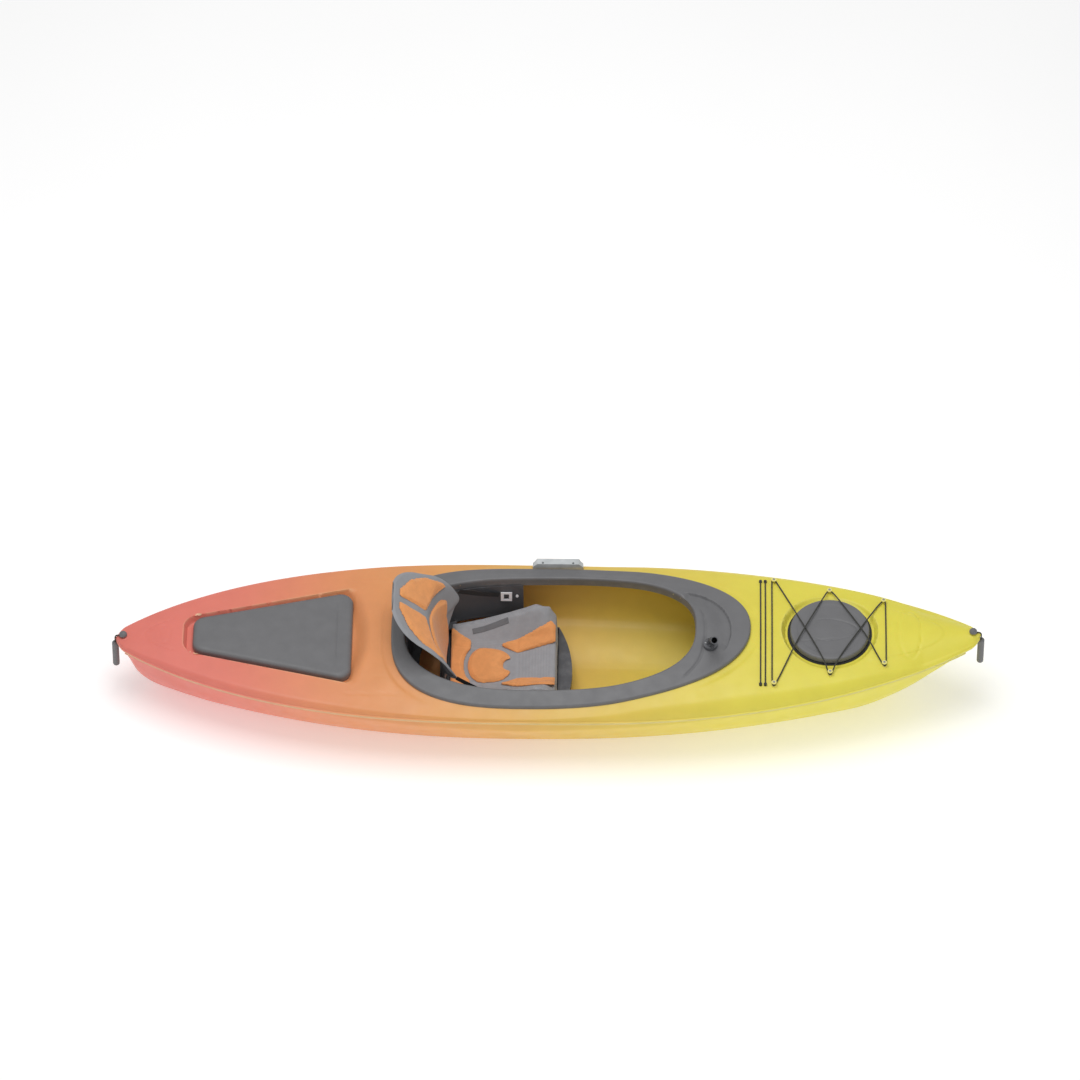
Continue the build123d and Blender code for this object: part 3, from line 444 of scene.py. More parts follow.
def tidy_mesh(made, closed=True):
    """Weld points that lie together, drop loose ones and turn a closed mesh's faces outwards."""
    work = bmesh.new()
    work.from_mesh(made.data)
    bmesh.ops.delete(work, geom=[v for v in work.verts if not v.link_faces], context="VERTS")
    bmesh.ops.remove_doubles(work, verts=work.verts, dist=2e-6)
    if closed:
        bmesh.ops.recalc_face_normals(work, faces=work.faces)
    work.to_mesh(made.data)
    work.free()


def closed_grid(name, points, loop_u=True, loop_v=True, cap=False, sharp=35.0):
    """Closed surface from a grid of points; cap closes the first and last row with fans.

    Rows that shrink to one place are welded, so the surface has no slit there.
    """
    points = np.asarray(points, float)
    rows, columns = points.shape[:2]
    faces = quads_of(rows, columns, loop_u, loop_v).tolist()
    flat = points.reshape(-1, 3)
    if cap:
        ring = np.arange(columns)
        flat = np.vstack([flat, points[0].mean(0), points[-1].mean(0)])
        for start, middle in ((0, rows * columns), ((rows - 1) * columns, rows * columns + 1)):
            for a, b in zip(ring, np.roll(ring, -1)):
                faces.append([int(start + a), int(start + b), middle])
    made = mesh_from(name, flat, faces, sharp)
    tidy_mesh(made)
    return made


def tube(points, radius, around, twist, bulge):
    """Grid of rings about a path, kept from twisting; twist and bulge give strands."""
    p = np.asarray(points, float)
    along = np.gradient(p, axis=0)
    along /= np.linalg.norm(along, axis=1)[:, None]
    side = np.cross(along[0], (0.0, 0.0, 1.0) if abs(along[0][2]) < 0.9 else (0.0, 1.0, 0.0))
    sides = []
    for t in along:
        side = side - t * np.dot(side, t)
        side = side / np.linalg.norm(side)
        sides.append(side)
    sides = np.array(sides)
    ups = np.cross(along, sides)
    far = np.concatenate([[0], np.cumsum(np.linalg.norm(np.diff(p, axis=0), axis=1))])
    a = np.linspace(0, 2 * math.pi, around, endpoint=False)[None, :]
    r = radius * (1 + bulge * (np.abs(np.sin(2 * a + twist * far[:, None])) - 0.5))
    return (p[:, None] + (r * np.cos(a))[..., None] * sides[:, None]
            + (r * np.sin(a))[..., None] * ups[:, None])


def place(made, finish_name, body, slot, nodes):
    """Give a piece its material and body and hide the CAD nodes it stands for. The slot is not used."""
    made.data.materials.clear()
    made.data.materials.append(look(finish_name))
    if body:
        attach(made, body)
    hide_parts(*nodes)
    return made


def modifier(made, kind, **settings):
    """Add a modifier with these settings."""
    added = made.modifiers.new(kind.title(), kind)
    for key, value in settings.items():
        setattr(added, key, value)
    return added


def dress(node, finish_name):
    """Give a carried-over CAD node its material."""
    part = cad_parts[node]
    for slot in part.material_slots:
        slot.link = "OBJECT"
        slot.material = look(finish_name)


# ------------------------------------------------------------------ hull and deck skins
DECK_ZONES = [(-1440, -1310), (-1305, -500), (470, 760), (820, 1190), (1225, 1420)]


def stations(fine, coarse, zones):
    """Positions along the boat, close together inside the zones."""
    places, x = [], -HALF
    while x < HALF:
        places.append(x)
        near_tip = HALF - abs(x) < 40
        x += 3 if near_tip else fine if any(a <= x <= b for a, b in zones) else coarse
    return np.array(places + [HALF])


def make_hull(wall):
    """Below the seam: at each station a flange, an upright band, two chines and a flat bottom."""
    x = np.clip(stations(6, 13, DECK_ZONES), -HALF + 36, HALF - 54)
    x = np.unique(x)[:, None]
    b, s, k = half_breadth(x) - FLANGE, seam_z(x), keel_z(x)
    fine = np.minimum(1, np.abs(x - WIDEST_X) / HALF) ** 2
    deep = s - k
    band = 0.2 - 0.15 * np.minimum(1, np.abs(x - WIDEST_X) / 700)
    flat = np.minimum(100, 0.27 * b)
    ys = [b, b, b - 1, b * (0.9 - 0.12 * fine), b * (0.77 - 0.3 * fine), flat, 0 * b]
    zs = [s - 6, s - 9, s - band * deep - 2, k + deep * 0.55, k + deep * (0.19 + 0.1 * fine), k, k]
    side = np.stack([np.hstack(ys), np.hstack(zs)], -1)
    for _ in range(3):
        near, far = side[:, :-1], side[:, 1:]
        cut = np.stack([0.87 * near + 0.13 * far, 0.13 * near + 0.87 * far], 2)
        side = np.concatenate([side[:, :1], cut.reshape(len(x), -1, 2)[:, 1:-1], side[:, -1:]], 1)
    top = np.stack([np.hstack([b + FLANGE, b + FLANGE]), np.hstack([s - 0.2, s - 5])], -1)
    side = np.concatenate([top, side], 1)
    other = side[:, -2::-1] * (-1, 1)
    ring = np.concatenate([side, other], 1)
    points = np.concatenate([np.repeat(x, ring.shape[1], 1)[..., None], ring], -1)
    rows, columns = points.shape[:2]
    faces = quads_of(rows, columns).tolist()
    flat_points = np.vstack([points.reshape(-1, 3), points[0].mean(0), points[-1].mean(0)])
    for i in range(columns - 1):
        faces.append([i, i + 1, rows * columns])
        last = (rows - 1) * columns
        faces.append([last + i, rows * columns + 1, last + i + 1])
    made = mesh_from("hull_skin", flat_points, faces, 30)
    modifier(made, "SOLIDIFY", thickness=wall, offset=-1.0)
    return place(made, "hull", "kayak", "hull_yellow", ["hull_shell"])


def groove(distance, width, depth):
    """Rounded channel where distance is near 0."""
    return -depth * np.exp(-(distance / width) ** 2)


def recess_shape(z, floor, inside, width):
    """Surface that falls to the floor across the width inside a line."""
    return z + (np.minimum(floor, z) - z) * step(inside / width)


def stern_recess(x, y):
    """Outline round the stern lid: close at its sides, with a bowed ramp in front."""
    return np.maximum(tub_field(x, y, 34, 90, 16, 44), np.hypot(x + 1135, y) - 513)


def deck_relief(x, y):
    """Height of the deck with its recesses, dished ends of the cockpit, ovals and creases."""
    z = deck_z(x, y)
    ring = oval_field(x, y, COAMING)
    ends = step((np.abs(x - 60) - 430) / 130)
    z = z - 4.0 * ends * (1 - step((ring - 24) / 12)) * (ring > -20)
    z = recess_shape(z, RECESS_Z + 0 * x, -circle_field(x, y, HATCH_X, RECESS_R + RECESS_RIM), 15)
    ramp = 12 + 52 * step((x + 716) / 34)
    z = recess_shape(z, TUB_RECESS_Z + 0 * x, -stern_recess(x, y), ramp)
    bow_oval = (np.hypot((x - 1277) / 41, y / 110) - 1) * 41
    z = z + groove(bow_oval, 2.4, 2.2) * (1 + 0.6 * step((x - 1290) / 20))
    bow_panel = (1402 - x) - (np.abs(y) / 118) ** 2 * 215
    z = z + groove(bow_panel, 3.2, 1.6) * (x > 1140) * (np.abs(y) < 116)
    z = z + 1.2 * step(bow_panel / 8) * step((x - 1125) / 20)
    stern_oval = (np.hypot((x + 1353) / 18, y / 41) - 1) * 18
    z = z + groove(stern_oval, 2.2, 1.6)
    stern_panel = (x + 1424) - (np.abs(y) / 70) ** 2 * 92
    z = z + groove(stern_panel, 3.0, 2.0) * (x < -1318) * (np.abs(y) < 74)
    for low, high, level in ((-640, -552, 198), (-735, -505, 268)):
        span = step((x - low) / 40) * step((high - x) / 40)
        z = z + groove(np.abs(y) - level - (x + 600) * 0.03, 3.0, 1.6) * span
    bolt = np.minimum(np.hypot(x - HALF + 24.5, y), np.hypot(x + HALF - 24.5, y))
    return z + 1.2 * (1 - step((bolt - 15) / 4))


def snapped(x, y, fields, reach):
    """Move points within reach of a field's zero line on to it, so that edges are crisp."""
    for field in fields:
        d = field(x, y)
        gx, gy = field(x + 0.5, y) - d, field(x, y + 0.5) - d
        size = np.maximum(np.hypot(gx, gy), 1e-6) * 2
        near = np.abs(d) < reach
        x = np.where(near, x - d * gx / size * 2, x)
        y = np.where(near, y - d * gy / size * 2, y)
    return x, y


def make_deck(wall):
    """Above the seam: flange, rounded band up to the shoulder, and the crowned top as a height field."""
    x = stations(6, 13, DECK_ZONES)[:, None]
    b, s = half_breadth(x), seam_z(x)
    inset, edge = shoulder_inset(x), half_breadth(x) - FLANGE - shoulder_inset(x)
    t = np.linspace(0, 1, 7)[None, 1:-1]
    rise = deck_z(x, edge) - s - 6
    band_y = b - FLANGE - inset * t ** 1.3
    band_z = s + 6 + rise * (1 - (1 - t) ** 1.45)
    low_y, low_z = np.hstack([b, b, b - 1, b - FLANGE]), np.hstack([s + 0.2, s + 4, s + 5.4, s + 6])
    share = np.linspace(1, -1, 97)[None, :]
    top_x, top_y = np.repeat(x, 97, 1), edge * share
    lines = [lambda u, v: circle_field(u, v, HATCH_X, HATCH_HOLE_R),
             lambda u, v: circle_field(u, v, HATCH_X, RECESS_R + RECESS_RIM),
             lambda u, v: tub_field(u, v, *TUB_HOLE),
             stern_recess,
             lambda u, v: oval_field(u, v, OPENING, OPENING_GAP)]
    inner = slice(1, -1)
    moved_x, moved_y = snapped(top_x, top_y, lines, 3.2)
    top_x[:, inner], top_y[:, inner] = moved_x[:, inner], moved_y[:, inner]
    top_z = deck_relief(top_x, top_y)
    fade = step((1 - np.abs(share)) / 0.03)
    top_z = deck_z(top_x, top_y) + (top_z - deck_z(top_x, top_y)) * fade
    ys = np.hstack([low_y, band_y, top_y, -band_y[:, ::-1], -low_y[:, ::-1]])
    zs = np.hstack([low_z, band_z, top_z, band_z[:, ::-1], low_z[:, ::-1]])
    plain = np.repeat(x, low_y.shape[1] + band_y.shape[1], 1)
    xs = np.hstack([plain, top_x, plain])
    points = np.stack([xs, ys, zs], -1)
    rows, columns = xs.shape
    quads = quads_of(rows, columns)
    middle = points.reshape(-1, 3)[quads].mean(1)
    mx, my = middle[:, 0], middle[:, 1]
    hole = np.min([field(mx, my) for field in (lines[0], lines[2], lines[4])], axis=0) < 0
    faces = quads[~hole].tolist()
    flat = np.vstack([points.reshape(-1, 3), points[0].mean(0), points[-1].mean(0)])
    for i in range(columns - 1):
        last = (rows - 1) * columns
        faces.append([i, rows * columns, i + 1])
        faces.append([last + i, last + i + 1, rows * columns + 1])
    made = mesh_from("deck_skin", flat, faces, 40)
    made.data.flip_normals()
    tidy_mesh(made, closed=False)
    modifier(made, "SOLIDIFY", thickness=wall, offset=-1.0)
    return place(made, "hull", "kayak", "hull_yellow", ["deck_shell"])


# ------------------------------------------------------------------ cockpit
def console_relief(x, y):
    """Crescent tray with a steep outer wall, and the thin curved groove behind it."""
    inside = 188 - np.hypot(x - 460, y + 20)
    turn = np.degrees(np.arctan2(y + 20, x - 460))
    window = step((86 - turn) / 10) * step((turn + 32) / 14)
    tray = -11.2 * step(inside / 4) * (1 - step((inside - 12) / 64)) * window
    back = x - curve([(-232, 470), (-155, 531), (-84, 551), (4, 556), (92, 540)], y)
    line = groove(back, 4.5, 4.0) * step((y + 228) / 25) * step((88 - y) / 20)
    return (tray + line) * (x > 430)


def make_coaming():
    """Broad ring that follows the deck: rolled outer edge, nearly flat top and a skirt inside."""
    a = np.linspace(0, 2 * math.pi, 440, endpoint=False)
    outer = [(0, 0.4), (0.0, 4.0), (-0.8, 8.0), (-2.6, 10.8), (-5.0, COAMING_THICK)]
    inner = [(8.0, COAMING_THICK), (4.6, 11.0), (1.8, 8.0), (0.4, 3.0), (0.0, -3.0), (0.0, -COAMING_SKIRT),
             (SKIRT_WALL, -COAMING_SKIRT), (SKIRT_WALL, -6.0)]
    rings = []
    for grow, rise in outer:
        rings.append((oval_line(COAMING, grow, a), rise))
    first, last = oval_line(COAMING, -5.0, a), oval_line(OPENING, 8.0, a)
    for share in np.linspace(0, 1, 56)[1:-1]:
        rings.append((first + (last - first) * share,
                      COAMING_THICK - 1.2 * math.sin(math.pi * share) ** 2))
    for grow, rise in inner:
        rings.append((oval_line(OPENING, grow, a), rise))
    under, over = oval_line(OPENING, 6.0, a), oval_line(COAMING, -3.0, a)
    for share in np.linspace(0, 1, 9):
        rings.append((under + (over - under) * share, 0.4))
    rows = []
    for line, rise in rings:
        x, y = line[:, 0], line[:, 1]
        z = deck_z(x, y) + rise
        if rise > 10:
            z = z + console_relief(x, y)
        rows.append(np.stack([x, y, z], -1))
    made = closed_grid("coaming_ring", rows, sharp=50)
    return place(made, "grey", "kayak", "grey_plastic", ["cockpit_coaming"])


def make_surround():
    """Thin curved wall hung under the coaming around the back of the cockpit, front edges swept."""
    a = np.linspace(math.radians(94), math.radians(266), 170)
    low = SEAM_Z - 118.0
    behind = step((-325 - oval_line(OPENING, -16, a)[:, 0]) / 30)
    profile = [(-2 - 14 * share, share, 0) for share in np.linspace(0, 1, 12)]
    profile += [(-20, 1.0, 26), (-20.5, 0.985, 27), (-20, 0.965, 26)]
    profile += [(-20 + 14 * (1 - share), share, 0) for share in np.linspace(0.955, 0, 12)]
    rows = []
    for grow, share, lip in profile:
        line = oval_line(OPENING, grow, a)
        inward = oval_line(OPENING, grow - lip, a) - line
        line = line + inward * behind[:, None]
        top = deck_z(line[:, 0], line[:, 1]) - COAMING_SKIRT + 1.5
        z = top + (low - top) * share
        front = -60.5 + 75 * (1 - share) ** 3
        rows.append(np.stack([np.minimum(line[:, 0], front), line[:, 1], z], -1))
    points = np.array(rows).transpose(1, 0, 2)
    made = closed_grid("seat_wall", points, loop_u=False, loop_v=True, cap=True, sharp=60)
    return place(made, "dark", "kayak", "dark_plastic", ["seat_surround"])


# ------------------------------------------------------------------ hatches
def make_bow_lid():
    """Round lid turned from a profile, with an embossed drop-shaped line on its top."""
    low = RECESS_Z + 5.0
    a = np.linspace(0, 2 * math.pi, 200, endpoint=False)[:, None]
    flat = [(r, LID_Z) for r in np.linspace(0, LID_R - 11, 44)]
    edge = [(LID_R - 8, LID_Z), (LID_R - 4.8, LID_Z - 0.4), (LID_R - 2, LID_Z - 2.4),
            (LID_R - 0.6, LID_Z - 6), (LID_R, low + 5), (LID_R, low), (LID_R - 4, low)]
    inner = [(LID_R - 4, LID_Z - 8), (LID_R - 8, LID_Z - 4), (60, LID_Z - 4), (0.0, LID_Z - 4)]
    radii, level = np.array(flat + edge + inner).T[:, None, :]
    x, y = radii * np.cos(a), radii * np.sin(a)
    z = level + 0 * a
    top = (level > LID_Z - 0.1) & (radii < 131)
    drop = np.hypot((x + 10) / (1.0 + 0.004 * x), (y + 2) * 1.55) - 78
    line = groove(drop, 3.0, 2.2) * step((x + 62) / 30)
    tail = groove(y + 44 - 0.12 * x, 2.6, 1.6) * step((40 - x) / 30) * (np.abs(x) < 110)
    z = z + np.where(top, line + tail - 1.2 * step((118 - radii) / 6), 0)
    made = closed_grid("bow_lid", np.stack([x + HATCH_X, y, z], -1), loop_u=True, loop_v=False, sharp=45)
    return place(made, "grey", "bow_hatch", "grey_plastic", ["bow_hatch_lid"])


def trapezoid(grow, radius, count):
    """Outline of the stern lid moved outwards, with rounded corners, evenly divided."""
    slope = (TUB[3] - TUB[2]) / (TUB[1] - TUB[0])
    aft, fore = TUB[0] - grow, TUB[1] + grow
    w_aft, w_fore = TUB[2] + grow - grow * slope, TUB[3] + grow + grow * slope * 0.4
    corners = np.array([(aft, -w_aft), (fore, -w_fore), (fore, w_fore), (aft, w_aft)])
    out = []
    for i, corner in enumerate(corners):
        back = corners[i - 1] - corner
        ahead = corners[(i + 1) % 4] - corner
        back, ahead = back / np.linalg.norm(back), ahead / np.linalg.norm(ahead)
        half = math.acos(np.clip(np.dot(back, ahead), -1, 1)) / 2
        middle = corner + (back + ahead) / np.linalg.norm(back + ahead) * radius / math.sin(half)
        start = corner + back * radius / math.tan(half) - middle
        end = corner + ahead * radius / math.tan(half) - middle
        for s in np.linspace(0, 1, 13):
            v = start * (1 - s) + end * s
            out.append(middle + v / np.linalg.norm(v) * radius)
    return resampled(out, count)


def make_stern_lid():
    """Crowned trapezoid lid: skirt, wide rounded bevel and a panel with a fine step at the front."""
    count = 260
    ring = [(0, 248.0), (0, 262.0), (-1.0, 268.0), (-4.0, 273.4), (-10.0, 277.0), (-17.0, 278.6)]
    rows = [np.column_stack([trapezoid(g, 42 + g * 0.5, count), np.full(count, z)]) for g, z in ring]
    edge = rows[-1][:, :2]
    core = np.column_stack([np.clip(edge[:, 0], -1150, -830), np.zeros(count)])
    for share in np.linspace(0, 1, 34)[1:]:
        p = edge + (core - edge) * share
        z = 278.6 + 2.4 * step(share * 1.6)
        front = TUB[1] - 55
        z = z + groove(p[:, 0] - front, 2.2, 2.0) * step((150 - np.abs(p[:, 1])) / 8)
        side = groove(np.abs(p[:, 1]) - 152 - (p[:, 0] - front) * 0.24, 2.0, 1.2)
        z = z + side * step((p[:, 0] + 800) / 30) * step((front - p[:, 0]) / 8)
        rows.append(np.column_stack([p, z]))
    inside = [(-4.0, 248.0), (-4.0, 270.0), (-12.0, 276.5)]
    under = [np.column_stack([trapezoid(g, 38, count), np.full(count, z)]) for g, z in inside]
    under.append(np.column_stack([core, np.full(count, 276.5)]))
    rows = under[::-1] + rows
    made = closed_grid("stern_lid_shell", np.array(rows), loop_u=False, loop_v=True, sharp=40)
    return place(made, "grey", "stern_hatch", "grey_plastic", ["stern_lid"])


# ------------------------------------------------------------------ seat
def backrest_surface(z, share):
    """Point of the backrest at this height, from -1 at one side to 1 at the other."""
    table = np.array(BACK_ROWS, float)
    middle = curve(table[:, [0, 1]], z)
    half, wrap = curve(table[:, [0, 2]], z), curve(table[:, [0, 3]], z)
    y = half * share
    return np.stack([middle + wrap * share ** 2, y, z + 0 * y], -1)


def make_backrest_shell():
    """Moulded shell of the backrest with side wings, curled top and rounded rim, on its knuckle."""
    z = np.concatenate([np.linspace(96, 116, 6), np.linspace(121, 486, 92)])[:, None]
    share = np.sin(np.linspace(-math.pi / 2, math.pi / 2, 71))[None, :]
    front = backrest_surface(z, share)
    soft = 6.0 * np.clip((np.abs(share) - 0.93) / 0.07, 0, 1) ** 2
    front[..., 0] -= soft
    back = front.copy()
    thin = 1 - 0.45 * np.clip((np.abs(share) - 0.9) / 0.1, 0, 1)
    back[..., 0] -= np.where(front[..., 0] < -440, 12.0, 9.0) * thin
    ring = np.concatenate([front, back[:, ::-1]], 1)
    shell = closed_grid("backrest_body", ring, loop_u=False, loop_v=True, cap=True, sharp=50)
    a = np.linspace(0, 2 * math.pi, 40, endpoint=False)[None, :]
    profile = np.array([(-40, 4.2), (-40, 8.2), (-39, 9.0), (39, 9.0), (40, 8.2), (40, 4.2)])
    y, r = profile[:, :1], profile[:, 1:]
    hub = np.stack([HINGE[0] + r * np.cos(a), y + 0 * a, HINGE[1] + r * np.sin(a)], -1)
    hub = closed_grid("hub", hub, loop_u=True, loop_v=True)
    with bpy.context.temp_override(active_object=shell, selected_editable_objects=[shell, hub]):
        bpy.ops.object.join()
    return place(shell, "shell", "backrest", "seat_fabric", ["backrest_shell"])


def shaped_copy(node, name):
    """New mesh object with the CAD node's shape."""
    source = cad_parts[node]
    mesh = source.data.copy()
    mesh.transform(source.matrix_world)
    mesh.name = name
    made = bpy.data.objects.new(name, mesh)
    bpy.context.scene.collection.objects.link(made)
    return made


def coordinates(made):
    """Places of the mesh's points as rows, in metres."""
    flat = np.empty(len(made.data.vertices) * 3)
    made.data.vertices.foreach_get("co", flat)
    return flat.reshape(-1, 3)


def baked(made):
    """Replace the object's mesh by its evaluated one and drop its modifiers."""
    graph = bpy.context.evaluated_depsgraph_get()
    mesh = bpy.data.meshes.new_from_object(made.evaluated_get(graph))
    made.modifiers.clear()
    made.data = mesh


def padded_piece(node, name, voxel_mm, cap_mm, inset_mm, up, finish_name, body, slot):
    """Stuffed fabric from a CAD pad: remesh, blow up as pressurised cloth with a cap, then subdivide."""
    made = shaped_copy(node, name)
    modifier(made, "REMESH", mode="VOXEL", voxel_size=voxel_mm * MM)
    baked(made)
    before = coordinates(made)
    normals = np.empty(len(made.data.vertices) * 3)
    made.data.vertices.foreach_get("normal", normals)
    normals = normals.reshape(-1, 3)
    free = step((normals @ np.array(up) + 0.55) / 0.9)[:, None]
    start = before - normals * inset_mm * MM * free
    made.data.vertices.foreach_set("co", start.ravel())
    cloth = modifier(made, "CLOTH")
    cloth.settings.use_pressure = True
    cloth.settings.uniform_pressure_force = 4.0
    cloth.settings.effector_weights.gravity = 0.0
    cloth.settings.quality = 4
    for number in range(1, 21):
        bpy.context.scene.frame_set(number)
    graph = bpy.context.evaluated_depsgraph_get()
    blown = made.evaluated_get(graph).data
    after = np.empty(len(blown.vertices) * 3)
    blown.vertices.foreach_get("co", after)
    move = after.reshape(-1, 3) - start
    far = np.maximum(np.linalg.norm(move, axis=1, keepdims=True), 1e-9)
    move = move * np.minimum(1, cap_mm * MM / far) * free
    made.modifiers.clear()
    bpy.context.scene.frame_set(1)
    made.data.vertices.foreach_set("co", (start + move).ravel())
    modifier(made, "SMOOTH", factor=0.6, iterations=4)
    baked(made)
    modifier(made, "SUBSURF", levels=1, render_levels=1)
    baked(made)
    made.data.shade_smooth()
    return place(made, finish_name, body, slot, [node])


# ------------------------------------------------------------------ cords
def spline_points(name, route):
    """Centreline of a cord: a NURBS spline with the route as its control points."""
    line = bpy.data.curves.new(name, "CURVE")
    line.dimensions = "3D"
    line.resolution_u = 10
    spline = line.splines.new("NURBS")
    spline.points.add(len(route) - 1)
    for point, place_at in zip(spline.points, route):
        point.co = (*place_at, 1.0)
    spline.order_u = 3
    spline.use_endpoint_u = True
    holder = bpy.data.objects.new(name, line)
    bpy.context.scene.collection.objects.link(holder)
    bpy.context.view_layer.update()
    graph = bpy.context.evaluated_depsgraph_get()
    mesh = bpy.data.meshes.new_from_object(holder.evaluated_get(graph))
    points = np.array([v.co[:] for v in mesh.vertices])
    bpy.data.objects.remove(holder)
    return points / MM


def corded(name, path, diameter, node):
    """Braided cord of round section along points of its centreline."""
    made = closed_grid(name, tube(path, diameter / 2 / MM, 12, 0.9, 0.05), loop_u=False, loop_v=True,
                       cap=True, sharp=60)
    return place(made, "cord", None, "cord", [node])


def cord_piece(name, route, diameter, node):
    """Braided cord along the spline of a route."""
    path = spline_points(name + "_line", route)
    return corded(name, path, diameter, node), path


BUNGEE = [(0.7912, 0.2455, 0.3154), (0.7912, 0.1728, 0.3273), (0.7912, 0.0864, 0.3384),
          (0.7912, 0.0, 0.3421), (0.7912, -0.0864, 0.3384), (0.7912, -0.1728, 0.3273),
          (0.7912, -0.2455, 0.3154), (0.8019, -0.2478, 0.3154), (0.8724, -0.0775, 0.3445),
          (0.9080, 0.0, 0.3498), (0.9737, 0.1434, 0.3445), (0.9905, 0.1966, 0.3201),
          (0.9989, 0.1970, 0.3201), (1.0220, 0.1425, 0.3445), (1.1030, 0.0, 0.3498),
          (1.1312, -0.0497, 0.3445), (1.1827, -0.1539, 0.3205), (1.1928, -0.1512, 0.3205),
          (1.1928, -0.1051, 0.3262), (1.1928, -0.0526, 0.3329), (1.1928, 0.0, 0.3351),
          (1.1928, 0.0526, 0.3329), (1.1928, 0.1051, 0.3262), (1.1928, 0.1512, 0.3205),
          (1.1827, 0.1539, 0.3205), (1.1312, 0.0497, 0.3445), (1.0220, -0.1425, 0.3445),
          (0.9989, -0.1970, 0.3201), (0.9905, -0.1966, 0.3201), (0.9737, -0.1434, 0.3445),
          (0.8724, 0.0775, 0.3445), (0.8019, 0.2478, 0.3154)]
CROSS_CORDS = {
    "aft": (0.751, [(0.236, 0.3150), (0.177, 0.3270), (0.118, 0.3356), (0.059, 0.3407), (0.0, 0.3425)]),
    "fore": (0.768, [(0.236, 0.3147), (0.177, 0.3267), (0.118, 0.3353), (0.059, 0.3405), (0.0, 0.3422)]),
}
TOGGLES = {"bow": (1.0, 0.32462), "stern": (-1.0, 0.25482)}


def toggle_route(side, foot):
    """Over the tip from the bolt and down into the grip."""
    level, out = foot + 0.0044, 1.5295
    rows = [(1.5041, level), (1.5165, level + 0.0012), (1.5255, level - 0.001), (out, level - 0.008),
            (out, level - 0.022), (out + 0.0006, level - 0.044)]
    return [(side * x, 0.0, z) for x, z in rows]


def make_toggle_cords(diameter):
    """Cord of each carry toggle, from its bolt into its grip."""
    for name, (side, foot) in TOGGLES.items():
        route = toggle_route(side, foot)
        made, path = cord_piece(name + "_toggle_rope", route, diameter, name + "_toggle_cord")
        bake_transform(made)


def make_deck_lines(diameter):
    """Bungee loop in four runs, of which those over the lid follow it, and the two cross cords."""
    path = spline_points("deck_bungee_line", BUNGEE)
    over = (path[:, 0] > 797.0) & (path[:, 0] < 1187.0)
    cuts = [0, *(np.flatnonzero(np.diff(over.astype(int))) + 1), len(path)]
    for name, first, last in zip(("aft", "over_port", "fore", "over_starboard"), cuts[:-1], cuts[1:]):
        run = path[max(first - 1, 0):last + 1]
        made = corded("bungee_" + name, run, diameter, "deck_bungee")
        if name.startswith("over"):
            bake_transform(made)
        else:
            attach(made, "kayak")
    for name, (x, rows) in CROSS_CORDS.items():
        route = [(x, -y, z) for y, z in rows] + [(x, y, z) for y, z in rows[-2::-1]]
        made, _ = cord_piece("cross_line_" + name, route, diameter, "cross_cord_" + name)
        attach(made, "kayak")


# ------------------------------------------------------------------ straps
def strap_piece(name, start, end, width, thick, sag, node):
    """Flat webbing between two points with a slight sag, rounded edges and a pair of stitch rows."""
    a, b = np.array(start, float), np.array(end, float)
    t = np.linspace(0, 1, 40)[:, None]
    path = a + (b - a) * t - np.array((0, 0, sag)) * np.sin(math.pi * t)
    along = (b - a) / np.linalg.norm(b - a)
    across = np.cross(along, (0, 0, 1))
    across /= np.linalg.norm(across)
    up = np.cross(across, along)
    w, h = width / 2, thick / 2
    ring = [(-w, -h * 0.5), (-w, h * 0.5), (-w + 1, h), (-w + 2.4, h * 0.8), (w - 2.4, h * 0.8), (w - 1, h),
            (w, h * 0.5), (w, -h * 0.5), (w - 1, -h), (-w + 1, -h)]
    points = np.array([path + up * u + across * v for u, v in ring]).transpose(1, 0, 2)
    made = closed_grid(name, points, loop_u=False, loop_v=True, cap=True, sharp=50)
    place(made, "webbing", None, "webbing", [node])
    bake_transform(made)
    return made


def make_straps():
    """Side and rear straps of the backrest, one pair of each."""
    wall_y = 260.0 - 16
    for name, side in (("port", 1), ("starboard", -1)):
        strap_piece("side_strap_" + name + "_web", (-318, side * 203, 285), (-176, side * (wall_y - 4), 226),
                    20, 2, 3, "side_strap_" + name)
        strap_piece("rear_strap_" + name + "_web", (-400, side * 128, 214), (-420, side * 138, 170),
                    18, 2, 0.5, "rear_straps")


def make_strips(cushion):
    """Grip strips: a turned rectangle on each bolster, dropped on to the cushion, with a thin edge."""
    u, v = np.meshgrid(np.linspace(-65, 65, 54), np.linspace(-9, 9, 9), indexing="ij")
    turn = math.radians(12)
    for name, side in (("port", 1), ("starboard", -1)):
        x = -205 + u * math.cos(turn) - v * math.sin(turn)
        y = 150 + u * math.sin(turn) + v * math.cos(turn)
        made = mesh_from("grip_strip_" + name, np.stack([x, side * y, 0 * x + 400], -1),
                         quads_of(54, 9)[:, ::side].tolist())
        drop = modifier(made, "SHRINKWRAP", wrap_method="PROJECT", target=cushion, offset=0.0018)
        drop.use_project_x = drop.use_project_y = drop.use_positive_direction = False
        drop.use_project_z = drop.use_negative_direction = True
        modifier(made, "SOLIDIFY", thickness=0.0018, offset=-1.0)
        modifier(made, "BEVEL", width=0.0005, segments=2)
        baked(made)
        place(made, "strip", "kayak", "grey_plastic", ["bolster_strips"])


